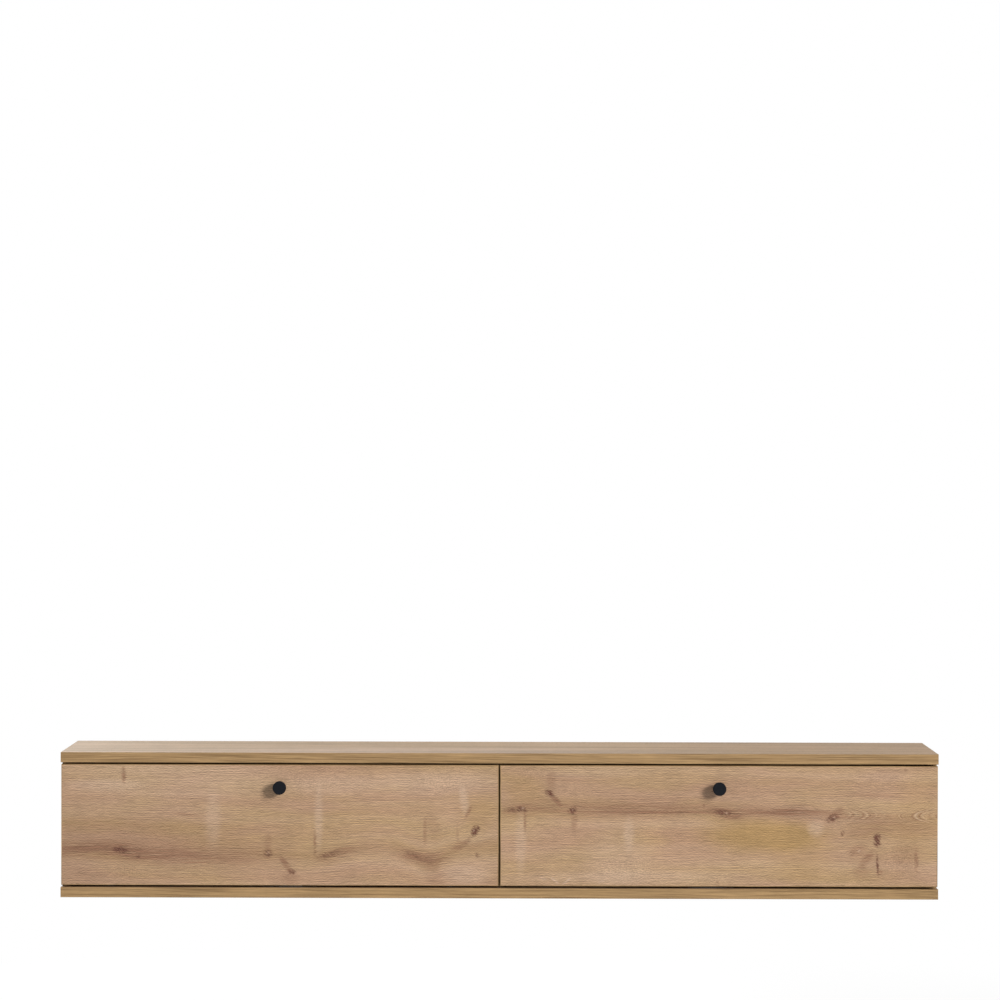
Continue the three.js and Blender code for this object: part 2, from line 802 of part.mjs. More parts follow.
// One flap with everything that swings on its hinge pins.
function flap(side) {
  const group = new THREE.Group();
  const screwSeat = doorFace + seatGap + knobScrewHeadLength;
  group.position.set(0, pivotY, pivotZ);
  group.add(
    piece(`flap_door_${side}`, flapDoor(), "oak"),
    piece(`knob_${side}`, knob(), "blackMetal", [knobX, -doorThickness / 2 - seatGap, knobZ]),
    piece(`knob_screw_${side}`, knobScrew(), "steel", [knobX, screwSeat, knobZ]),
    piece(`door_bumper_${side}`, bumper(), "clearRubber", [
      (sideInner + sideOuter) / 2,
      0,
      doorHeight - pivotAboveEdge - bumperBelowTop,
    ]),
    piece(`stay_bracket_${side}`, stayBracket(), "steel", [sideInner, 0, 0]),
  );
  Object.entries(hingeXs).forEach(([where, x]) =>
    group.add(piece(`hinge_cup_${side}_${where}`, hingeCup(), "nickel", [x, 0, 0])),
  );
  return group;
}

// The fixed and linked parts of a flap's hinges and stay.
function flapFittings(side) {
  const group = new THREE.Group();
  group.position.set(0, pivotY, pivotZ);
  Object.entries(hingeXs).forEach(([where, x]) =>
    group.add(
      piece(`hinge_arm_${side}_${where}`, hingeArm(), "nickel", [x, 0, 0]),
      piece(`hinge_mount_${side}_${where}`, hingeMount(), "nickel", [x, 0, 0]),
    ),
  );
  group.add(
    piece(`stay_housing_${side}`, stayHousing(), "greyPlastic", [sideInner, 0, 0]),
    piece(`stay_rocker_${side}`, stayRocker(), "nickel", [sideInner, 0, 0]),
    piece(`stay_link_${side}`, stayLink(), "nickel", [sideInner, 0, 0]),
  );
  return group;
}

function half(side, sign) {
  const group = new THREE.Group();
  group.scale.x = sign;
  group.add(
    piece(`side_panel_${side}`, sidePanel(), "oak"),
    piece(`back_panel_${side}`, backPanel(), "hardboard"),
    piece(`hanger_housing_${side}`, hangerHousing(), "greyPlastic"),
    piece(`hanger_hook_${side}`, hangerHook(), "steel"),
    piece(`wall_plate_${side}`, wallPlate(), "steel"),
    jointFasteners(side, sideInner, (sideInner + sideOuter) / 2),
    flap(side),
    flapFittings(side),
  );
  return group;
}

const mediaConsole = new THREE.Group();
mediaConsole.name = "floating_media_console";
mediaConsole.add(
  piece("top_panel", topPanel(), "oak"),
  piece("bottom_panel", bottomPanel(), "oak"),
  piece("middle_divider", middleDivider(), "oak"),
  jointFasteners("middle", -boardThickness / 2, 0),
  half("left", -1),
  half("right", 1),
);

export default mediaConsole;
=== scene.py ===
# The looks of a wall-hung media console in knotty oak decor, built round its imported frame.
# Lengths in the patterns of boards and finishes are millimetres, as the sensor's is. All others are metres.
import json
import math

import bpy
from mathutils import Matrix, Vector

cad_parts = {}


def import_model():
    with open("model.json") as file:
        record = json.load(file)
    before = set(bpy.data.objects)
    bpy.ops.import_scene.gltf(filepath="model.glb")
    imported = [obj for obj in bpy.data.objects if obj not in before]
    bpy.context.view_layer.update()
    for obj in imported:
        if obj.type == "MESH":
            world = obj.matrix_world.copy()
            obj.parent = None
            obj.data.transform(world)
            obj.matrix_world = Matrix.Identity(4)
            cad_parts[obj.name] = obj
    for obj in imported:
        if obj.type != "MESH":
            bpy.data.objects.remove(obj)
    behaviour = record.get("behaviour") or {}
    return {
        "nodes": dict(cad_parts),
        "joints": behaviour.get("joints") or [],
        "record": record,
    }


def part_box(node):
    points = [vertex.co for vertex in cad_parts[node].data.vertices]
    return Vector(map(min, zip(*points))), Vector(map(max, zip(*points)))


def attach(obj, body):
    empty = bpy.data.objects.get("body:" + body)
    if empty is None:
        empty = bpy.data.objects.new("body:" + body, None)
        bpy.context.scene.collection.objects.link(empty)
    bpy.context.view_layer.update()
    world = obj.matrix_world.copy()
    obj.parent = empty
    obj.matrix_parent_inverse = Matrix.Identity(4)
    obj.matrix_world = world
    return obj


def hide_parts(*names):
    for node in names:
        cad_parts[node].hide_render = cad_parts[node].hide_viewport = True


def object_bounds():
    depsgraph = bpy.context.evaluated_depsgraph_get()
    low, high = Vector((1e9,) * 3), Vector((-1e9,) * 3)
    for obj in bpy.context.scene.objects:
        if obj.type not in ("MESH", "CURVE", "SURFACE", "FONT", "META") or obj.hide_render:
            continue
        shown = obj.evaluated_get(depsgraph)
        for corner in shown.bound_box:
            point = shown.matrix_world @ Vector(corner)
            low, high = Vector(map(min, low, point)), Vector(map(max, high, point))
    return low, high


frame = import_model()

cad_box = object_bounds()
nodes = frame["nodes"]
MM = 0.001
SIDES = ("left", "right")
FRONT = Vector((0, -1, 0))
UP = Vector((0, 0, 1))

# Camera
CAMERA_PLACE = (0.014727, -8.132708, 0.760)
CAMERA_PITCH = -0.01172
CAMERA_YAW = 0.001945
CAMERA_ROLL = 0.002572
SENSOR = 36.0
FOCAL_SHARE = 3.81631  # focal length over the sensor's width
CLIP_NEAR = 0.1
CLIP_FAR = 200.0

# Light
AMBIENT = 0.21
WHITE = (1.0, 1.0, 1.0, 1)
# Round lamps: azimuth from the front to the right, elevation, distance, diameter, power, and whether gloss
# shows them
LAMPS = {
    "key": (43.3, 18.2, 22.0, 6.6, 4400.0, False),
    "back": (216.0, 30.6, 4.3, 1.2, 84.0, True),
}

# Floor
FLOOR_DROP = 0.45  # below the object
FLOOR_SIZE = 80.0
FLOOR_COLOUR = (0.86, 0.86, 0.86, 1)
FLOOR_NEAR = 1.2  # from here to FLOOR_FAR the floor fades to white
FLOOR_FAR = 2.6
FLOOR_LIFT = 0.34  # glow added near the object, for the camera and for reflections only

# Board layers
DECOR_SKIN = 0.35
BAND_THICKNESS = 1.5
SEAM = 0.15
NO_BAND = 1e3  # stands for the distance to an end that has no band
OTHER_FACE = 1500.0  # how far along the print the board's second face lies
BOARD_ROUGHNESS = 0.66
GRAIN_GLOSS = 0.10  # roughness that the highest grain loses
BOARD_SPECULAR = 0.45
EMBOSS_DEPTH = 0.12 * MM
EMBOSS_STRENGTH = 0.55
BAND_SWAY = 18.0  # how far the band's grain wanders
BAND_SLANT = 0.012
SEAM_STRENGTH = 0.4

# Colours, linear
OAK = (0.425, 0.260, 0.158)
OAK_YELLOW = (0.428, 0.276, 0.141)
OAK_PALE = (0.555, 0.390, 0.275)
OAK_BROWN = (0.255, 0.133, 0.078)
OAK_DARK = (0.125, 0.050, 0.031)
OAK_GOLD = (0.390, 0.243, 0.104)
BAND = (0.390, 0.246, 0.114)
BAND_DARK = (0.200, 0.115, 0.045)
SEAM_COLOUR = (0.16, 0.10, 0.05)
CHIP_PALE = (0.62, 0.47, 0.29)
CHIP_DARK = (0.30, 0.19, 0.10)
HARDBOARD = (0.50, 0.375, 0.240)
HARDBOARD_HAIR = (0.36, 0.25, 0.15)

# Oak print
FAR_OFF = 1e6  # a radius along the thickness, so that marks go through it
MARK_CORE = 0.25  # share of a mark's radius that keeps its full strength
STROKE_TILT = math.radians(38)
SWAY_CELLS = (420, 160, 300)
GRAIN_SWAY = 10.0  # how far the grain wanders
BEND_REACH = 100  # how far from the growth band the grain still bends with it
FINE_BEND = 0.3  # share of the grain's bend that its finest lines follow
LINE_STEP = 2.1  # from a fine grain line to the gap beside it
FRAY_ALONG = 13.0  # how far fibres fray the rim of a mark along the grain
FRAY_ACROSS = 7.0
GROWTH_CORE = 2  # the growth band has its full strength this far from its middle line
GROWTH_REACH = 24
GROWTH_STRENGTH = 0.80
GROWTH_THREADS = 16.0  # how far threads and lines fray it
GROWTH_LINES = 26.0
ARC_FRAY = 9.0
ARC_BROWN = 3.4  # how strongly a flame's arcs darken, and how strongly they pale between
ARC_PALE = 2.3
BROWN_COVER = 0.80
DARK_COVER = 0.72
PIT_SHADE = 0.16
TONE_LOW = -0.60
TONE_HIGH = 0.45
# Noise of the print: the place it follows, its cells along, up and through, detail, roughness and shift
PRINT_NOISE = {
    "broad": ("grain", (800, 34, 300), 1.0, 0.5, 3.1),
    "patches": ("face", (60, 170, 300), 2.0, 0.5, 5.7),
    "hues": ("grain", (230, 55, 300), 2.0, 0.5, 6.1),
    "lines": ("grain", (240, 2.5, 60), 2.0, 0.6, 7.9),
    "threads": ("fine", (64, 1.9, 30), 2.0, 0.6, 11.3),
    "fibres": ("fine", (18, 1.5, 9), 3.0, 0.6, 1.3),
    "flecks": ("fine", (3.8, 1.8, 3), 2.0, 0.6, 9.1),
    "ticks": ("face", (2.2, 5.0, 8), 2.0, 0.6, 8.3),
    "pores": ("fine", (11, 0.55, 5), 1.0, 0.5, 2.7),
    "tick_patches": ("face", (90, 46, 300), 1.0, 0.5, 4.3),
    "strokes": ("slanted", (7.0, 1.9, 6), 2.0, 0.6, 12.7),
}
LONG_LINES = (56, 2.0, 30)
LONG_LINES_SHIFT = 14.9
SHORT_LINES = (4.4, 2.0, 3)
SHORT_LINES_SHIFT = 16.7
LINE_DETAIL = (2.0, 0.6)  # detail and roughness of both
TONE_WEIGHTS = {"patches": 0.22, "lines": 0.20, "fibres": 0.85, "threads": 0.42}
GRAIN_HEIGHT = 0.35  # of the fibres, over the depth of a pit
# Spans: the low and high end of a noise, and what they are spread to where that isn't 0 and 1
STREAK_SPAN = (0.38, 0.60, 0.45, 1.45)
STROKE_SPAN = (0.40, 0.56, 0.30, 1.30)
PALE_SPAN = (0.3, 0.7, 0.7, 1.3)
PALE_STREAK_SPAN = (0.35, 0.65, 0.0, 0.30)
HATCHING_SPAN = (0.45, 0.65, 0.05, 0.5)
LONG_LINES_SPAN = (0.05, 0.6, 0.95, 0.50)  # from the hatching, where these lines are weaker
PIT_SPAN = (0.60, 0.72)
HUE_SPAN = (0.38, 0.62)

# Noise of the band, the chipboard and the hardboard: cells along each axis, detail, and roughness and shift
# where they are set
BAND_DRIFT = ((500, 40, 40), 1.0, 0.5)
BAND_NOISE = {
    "lines": ((170, 1.9, 40), 2.0, 0.6, 1.7),
    "fine": ((34, 1.1, 40), 3.0, 0.6, 3.3),
    "slow": ((160, 30, 40), 1.0, 0.5, 5.1),
}
BAND_WEIGHTS = {"slow": 0.30, "lines": -0.50, "fine": 0.90}
BAND_DARK_SPAN = (0.46, 0.66, 0, 0.70)
CHIP_FLAKES = ((2.4, 1.1, 1.1), 3.0, 0.7)
CHIP_PATCHES = ((6.0, 3.0, 3.0), 1.0, 0.5, 4.0)
CHIP_COLOUR_SPAN = (0.34, 0.66)
CHIP_TONE_SPAN = (0.3, 0.7, 0.8, 1.1)
HAIR_NOISE = ((5.0, 3.0, 0.45), 1.0, 0.5)
HAIR_SPAN = (0.60, 0.74)
HARDBOARD_SLOW = ((140, 140, 90), 2.0)
HARDBOARD_FINE = ((0.9, 0.9, 0.9), 2.0)


class Graph:
    """A shader node tree. node() returns the node it adds, and the methods after it return a socket."""

    def __init__(self, tree):
        self.tree = tree
        tree.nodes.clear()

    def feed(self, socket, value):
        """Links another socket to this one, or sets its plain value."""
        if isinstance(value, bpy.types.NodeSocket):
            self.tree.links.new(value, socket)
        else:
            socket.default_value = value

    def node(self, kind, inputs=None, **settings):
        made = self.tree.nodes.new("ShaderNode" + kind)
        for name, value in settings.items():
            setattr(made, name, value)
        for key, value in (inputs or {}).items():
            self.feed(made.inputs[key], value)
        return made

    def math(self, operation, *values, clamp=False):
        return self.node("Math", dict(enumerate(values)), operation=operation, use_clamp=clamp).outputs[0]

    def vector(self, operation, *values):
        return self.node("VectorMath", dict(enumerate(values)), operation=operation).outputs[0]

    def length(self, vector):
        return self.node("VectorMath", {0: vector}, operation="LENGTH").outputs["Value"]

    def combine(self, x=0.0, y=0.0, z=0.0):
        return self.node("CombineXYZ", {0: x, 1: y, 2: z}).outputs[0]

    def remap(self, value, low, high, to_low=0.0, to_high=1.0, soft=False):
        inputs = {"Value": value, "From Min": low, "From Max": high, "To Min": to_low, "To Max": to_high}
        kind = "SMOOTHSTEP" if soft else "LINEAR"
        return self.node("MapRange", inputs, interpolation_type=kind, clamp=True).outputs[0]

    def share(self, value, factor=1.0):
        """A value times a factor, kept between 0 and 1."""
        return self.math("MULTIPLY", value, factor, clamp=True)

    def noise(self, place, size, detail=2.0, roughness=0.5, shift=0.0):
        """Smooth noise from 0 to 1 whose cells are size millimetres along each axis."""
        scaled = self.vector("MULTIPLY_ADD", place, [1 / cell for cell in size], (shift, shift, shift))
        inputs = {"Vector": scaled, "Scale": 1.0, "Detail": detail, "Roughness": roughness}
        return self.node("TexNoise", inputs).outputs[0]

    def centred(self, noise):
        """Noise moved so that it lies about 0."""
        return self.math("SUBTRACT", noise, 0.5)

    def stray(self, value, noise, reach):
        """A value moved to and fro by noise, within a span of reach."""
        return self.math("MULTIPLY_ADD", self.centred(noise), reach, value)

    def mix(self, factor, first, second):
        made = self.node("Mix", {"Factor": factor}, data_type="RGBA")
        for socket, value in ((made.inputs[6], first), (made.inputs[7], second)):
            self.feed(socket, (*value, 1.0) if isinstance(value, tuple) else value)
        return made.outputs[2]

    def scale_colour(self, colour, factor):
        return self.node("VectorMath", {0: colour, "Scale": factor}, operation="SCALE").outputs[0]

    def curve(self, value, points):
        """A smooth curve through points of share along and value."""
        made = self.node("FloatCurve", {"Value": value})
        line = made.mapping.curves[0]
        while len(line.points) < len(points):
            line.points.new(0.5, 0.5)
        for point, place in zip(line.points, points):
            point.location = place
        made.mapping.update()
        return made.outputs[0]


def material(name, build):
    """A new material; build(graph) fills its tree and returns the Principled inputs and the bump."""
    made = bpy.data.materials.new(name)
    made.use_nodes = True
    graph = Graph(made.node_tree)
    inputs, (height, distance, strength) = build(graph)
    bump = graph.node("Bump", {"Height": height, "Distance": distance, "Strength": strength})
    inputs["Normal"] = bump.outputs[0]
    shader = graph.node("BsdfPrincipled", inputs)
    graph.node("OutputMaterial", {"Surface": shader.outputs[0]})
    return made


# Oak decor

# Marks on the doors, in millimetres from the door's left end and lower edge:
# kind, along, up, half length, half width, tilt in degrees, strength.
LEFT_MARKS = (
    ("pale", 230, 220, 340, 60, 0, 0.28),
    ("gold", 860, 150, 60, 50, 0, 0.50),
    ("tick", 800, 222, 110, 34, 0, 0.60),
    ("tick", 560, 218, 160, 30, 0, 0.40),
    ("tick", 120, 30, 70, 18, 0, 0.50),
    ("tick", 680, 25, 60, 40, 0, 0.40),
    ("brown", 60, 80, 380, 130, 0, 0.36),
    ("brown", 330, 60, 260, 60, 0, 0.14),
    ("dark", 112, 74, 14, 7, 0, 0.55),
    ("dark", 122, 72, 20, 10, -8, 1.00),
    ("dark", 134, 70, 13, 5, -14, 0.45),
    ("dark", 158, 59, 8, 6, 0, 0.90),
    ("brown", 45, 75, 80, 6, 0, 0.60),
    ("brown", 140, 68, 60, 22, -8, 0.35),
    ("dark", 424, 66, 14, 13, 0, 0.90),
    ("heart", 424, 67, 3, 3, 0, 0.30),
    ("brown", 424, 88, 12, 26, 0, 0.45),
    ("brown", 462, 42, 28, 9, -52, 0.90),
    ("dark", 474, 28, 12, 7, 0, 1.00),
    ("brown", 470, 14, 26, 22, 0, 0.35),
    ("brown", 520, 88, 4, 34, 0, 0.75),
    ("dark", 520, 67, 5, 6, 0, 0.40),
    ("dark", 546, 63, 32, 9, 12, 0.70),
    ("brown", 573, 70, 46, 12, 12, 0.55),
    ("dark", 718, 66, 30, 7, -24, 0.45),
    ("dark", 746, 56, 26, 10, -10, 0.34),
    ("brown", 742, 60, 80, 20, -4, 0.42),
    ("brown", 765, 30, 30, 44, 0, 0.28),
    ("brown", 746, 112, 6, 40, 0, 0.60),
    ("brown", 762, 122, 22, 42, 20, 0.30),
    ("brown", 818, 83, 26, 11, 28, 0.60),
    ("dark", 835, 94, 17, 7, 48, 0.50),
    ("dark", 849, 114, 11, 15, -24, 2.20),
    ("heart", 846, 114, 2.4, 3.4, -24, 0.40),
    ("brown", 835, 152, 20, 6, 64, 0.85),
    ("brown", 813, 108, 4, 26, 0, 0.40),
    ("dark", 853, 64, 6, 8, 20, 0.80),
    ("brown", 128, 226, 6, 26, 4, 0.85),
    ("brown", 258, 145, 50, 4, -8, 0.35),
    ("pale", 311, 135, 24, 84, 0, 0.42),
    ("pale", 528, 140, 13, 90, 0, 0.48),
    ("pale", 826, 175, 13, 42, 8, 0.52),
    ("pale", 765, 208, 190, 34, 0, 0.40),
    ("pale", 560, 205, 130, 30, 0, 0.30),
    ("pale", 832, 22, 70, 30, 0, 0.50),
    ("pale", 90, 205, 120, 18, 0, 0.40),
)
RIGHT_MARKS = (
    ("gold", 535, 106, 170, 50, 0, 1.00),
    ("gold", 620, 70, 90, 90, 0, 0.40),
    ("gold", 50, 195, 70, 36, 0, 0.50),
    ("gold", 860, 140, 80, 120, 0, 0.40),
    ("tick", 250, 40, 150, 40, 0, 0.50),
    ("tick", 820, 50, 70, 50, 0, 0.70),
    ("tick", 60, 225, 70, 24, 0, 0.50),
    ("tick", 830, 215, 90, 30, 0, 0.40),
    ("brown", 300, 195, 560, 80, 0, 0.16),
    ("brown", 790, 70, 110, 110, 0, 0.22),
    ("dark", 32, 157, 34, 9, 4, 0.85),
    ("dark", 44, 160, 10, 8, 20, 0.50),
    ("heart", 46, 160, 4, 3, 20, 0.50),
    ("dark", 52, 154, 6, 6, 0, 0.45),
    ("brown", 51, 132, 4, 34, 0, 0.80),
    ("pale", 42, 90, 17, 88, 0, 0.42),
    ("dark", 100, 192, 13, 8, -25, 1.60),
    ("brown", 112, 179, 26, 8, -46, 0.90),
    ("brown", 104, 214, 14, 32, 0, 0.35),
    ("dark", 148, 156, 14, 10, 28, 1.20),
    ("heart", 150, 157, 3, 2.4, 28, 0.30),
    ("brown", 152, 132, 10, 34, 0, 0.50),
    ("brown", 330, 157, 340, 18, 0, 0.22),
    ("brown", 300, 152, 160, 4, 0, 0.60),
    ("dark", 417, 166, 4, 8, 20, 0.50),
    ("dark", 457, 152, 26, 9, -10, 1.00),
    ("heart", 464, 151, 4, 2.5, 0, 0.45),
    ("brown", 470, 148, 40, 14, -8, 0.45),
    ("dark", 568, 154, 64, 6, 1, 0.42),
    ("brown", 590, 152, 120, 12, 0, 0.50),
    ("dark", 680, 141, 19, 12, 24, 1.00),
    ("heart", 684, 143, 4, 3, 24, 0.40),
    ("brown", 690, 150, 26, 12, 42, 0.60),
    ("dark", 702, 110, 6, 9, 0, 0.80),
    ("dark", 722, 68, 10, 8, 30, 0.35),
    ("brown", 732, 74, 26, 18, 15, 0.38),
    ("heart", 736, 74, 5, 4, 0, 0.50),
    ("dark", 773, 101, 10, 12, 0, 1.90),
    ("dark", 773, 90, 11, 11, 0, 1.20),
    ("brown", 750, 56, 32, 12, 52, 0.60),
    ("dark", 774, 45, 3.8, 34, 4, 1.20),
    ("brown", 779, 30, 10, 7, 0, 0.60),
    ("brown", 750, 112, 70, 24, 0, 0.30),
    ("brown", 740, 30, 26, 20, 0, 0.30),
    ("dark", 831, 240, 5, 6, 0, 0.45),
    ("brown", 853, 57, 6, 38, 2, 0.50),
    ("brown", 828, 60, 40, 44, 0, 0.20),
    ("dark", 446, 6, 5, 11, 0, 0.40),
    ("brown", 800, 132, 110, 26, -4, 0.30),
    ("brown", 770, 188, 70, 6, -2, 0.30),
    ("pale", 240, 60, 95, 90, 0, 0.30),
    ("pale", 264, 108, 16, 52, 0, 0.42),
    ("pale", 300, 18, 330, 24, 0, 0.40),
    ("pale", 647, 122, 24, 28, 0, 0.50),
    ("pale", 180, 232, 160, 16, 0, 0.30),
    ("pale", 112, 12, 14, 3, -38, 0.80),
    ("pale", 136, 10, 16, 3, 34, 0.80),
    ("pale", 88, 16, 12, 3, -20, 0.50),
    ("pale", 208, 10, 10, 3, 20, 0.50),
)

# The growth band that each door's knots lie on: points along and up, as shares of the door's length and
# height, and points along and strength.
LEFT_PATH_SHARES = (
    (0.0, 0.304), (0.111, 0.300), (0.136, 0.292), (0.191, 0.259), (0.294, 0.243), (0.408, 0.243),
    (0.472, 0.251), (0.545, 0.235), (0.602, 0.243), (0.647, 0.284), (0.704, 0.309), (0.761, 0.300),
    (0.800, 0.251), (0.841, 0.202), (0.880, 0.259), (0.933, 0.309), (1.0, 0.309),
)
LEFT_STRENGTH_SHARES = (
    (0.0, 0.60), (0.13, 0.75), (0.18, 0.55), (0.33, 0.60), (0.46, 0.45), (0.55, 0.20), (0.61, 0.60),
    (0.66, 0.40), (0.71, 0.25), (0.78, 0.40), (0.83, 0.60), (0.88, 0.40), (0.94, 0.25), (1.0, 0.30),
)
RIGHT_PATH_SHARES = (
    (0.0, 0.638), (0.048, 0.646), (0.101, 0.663), (0.170, 0.646), (0.319, 0.646), (0.456, 0.646),
    (0.518, 0.613), (0.594, 0.617), (0.685, 0.621), (0.754, 0.588), (0.800, 0.588), (1.0, 0.588),
)
RIGHT_STRENGTH_SHARES = (
    (0.0, 0.40), (0.05, 0.70), (0.12, 0.55), (0.25, 0.45), (0.42, 0.30), (0.52, 0.70), (0.60, 0.50),
    (0.72, 0.60), (0.76, 0.60), (0.82, 0.35), (0.90, 0.20), (1.0, 0.15),
)

# Knots that bend the grain round them: along, up, reach along, reach up, lift
LEFT_KNOTS = (
    (121, 72, 60, 30, 0.6), (424, 66, 34, 24, 0.6), (549, 64, 50, 28, 0.4), (846, 111, 40, 40, 0.8),
    (742, 60, 70, 34, 0.3),
)
RIGHT_KNOTS = (
    (44, 159, 44, 26, 0.6), (148, 156, 40, 24, 0.6), (460, 151, 60, 28, 0.6), (681, 141, 50, 34, 0.6),
    (774, 92, 40, 40, 0.7), (733, 72, 40, 30, 0.6),
)

# Flames of nested arcs: along, up, half length, half width, bend, spacing. A negative bend points them left.
RIGHT_ARCS = ((742, 148, 60, 26, 0.16, 7.0), (858, 146, 72, 26, -0.16, 7.0))

# Marks on the top panel, from its left end and front edge. The wide pale mark over the left part is painted
# sheen, and the brown mark at the right end is painted shade, so that the top looks lighter at the left and
# darker at the right as if lit that way.
TOP_MARKS_AND_PAINTED_SHEEN = (
    # painted shade: darkens the right end of the top
    ("brown", 1640, 158, 620, 500, 0, 0.28),
    ("gold", 900, 158, 3000, 900, 0, 0.24),
    # painted sheen: lightens the left part of the top near the front
    ("pale", 740, 10, 760, 210, 0, 0.55),
    ("gold", 1560, 158, 560, 500, 0, 0.30),
)


def spot(g, place, along, up, half_length, half_width, tilt=0.0):
    """1 in the middle of an ellipse on the board's face, falling softly to 0 at its rim."""
    inputs = {
        "Vector": place,
        "Location": (along, up, 0),
        "Rotation": (0, 0, math.radians(tilt)),
        "Scale": (half_length, half_width, FAR_OFF),
    }
    local = g.node("Mapping", inputs, vector_type="TEXTURE").outputs[0]
    return g.remap(g.length(local), MARK_CORE, 1, 1, 0, soft=True)


def add_up(g, terms):
    """The sum of strength times mask over all terms."""
    total = 0.0
    for strength, mask in terms:
        total = g.math("MULTIPLY_ADD", mask, strength, total)
    return total


def growth_band(g, along, size, path):
    """Each place's share of the board's length, and the growth band's height there."""
    share = g.math("DIVIDE", along, size[0], clamp=True)
    return share, g.math("MULTIPLY", g.curve(share, path), size[1])


def grain_field(g, face, along, up, size, path, knots):
    """The height on the board that each grain line keeps, bent along the path and round the knots."""
    field = up
    if path:
        _, line = growth_band(g, along, size, path)
        mean = size[1] * sum(height for _, height in path) / len(path)
        away = g.math("ABSOLUTE", g.math("SUBTRACT", up, line))
        near = g.remap(away, 0, BEND_REACH, 1, 0, soft=True)
        field = g.math("MULTIPLY_ADD", g.math("SUBTRACT", mean, line), near, field)
    for x, z, reach_x, reach_z, lift in knots:
        around = spot(g, face, x, z, reach_x, reach_z)
        offset = g.math("MULTIPLY", g.math("SUBTRACT", up, z), -lift)
        field = g.math("MULTIPLY_ADD", offset, around, field)
    return field


def crisp(g, place, size, shift):
    """Noise less the mean of its neighbours across the grain, so that only its fine lines are left."""
    middle, above, below = (
        g.noise(g.vector("ADD", place, (0, step, 0)), size, *LINE_DETAIL, shift)
        for step in (0, LINE_STEP, -LINE_STEP)
    )
    return g.math("MULTIPLY_ADD", g.math("ADD", above, below), -0.5, middle)


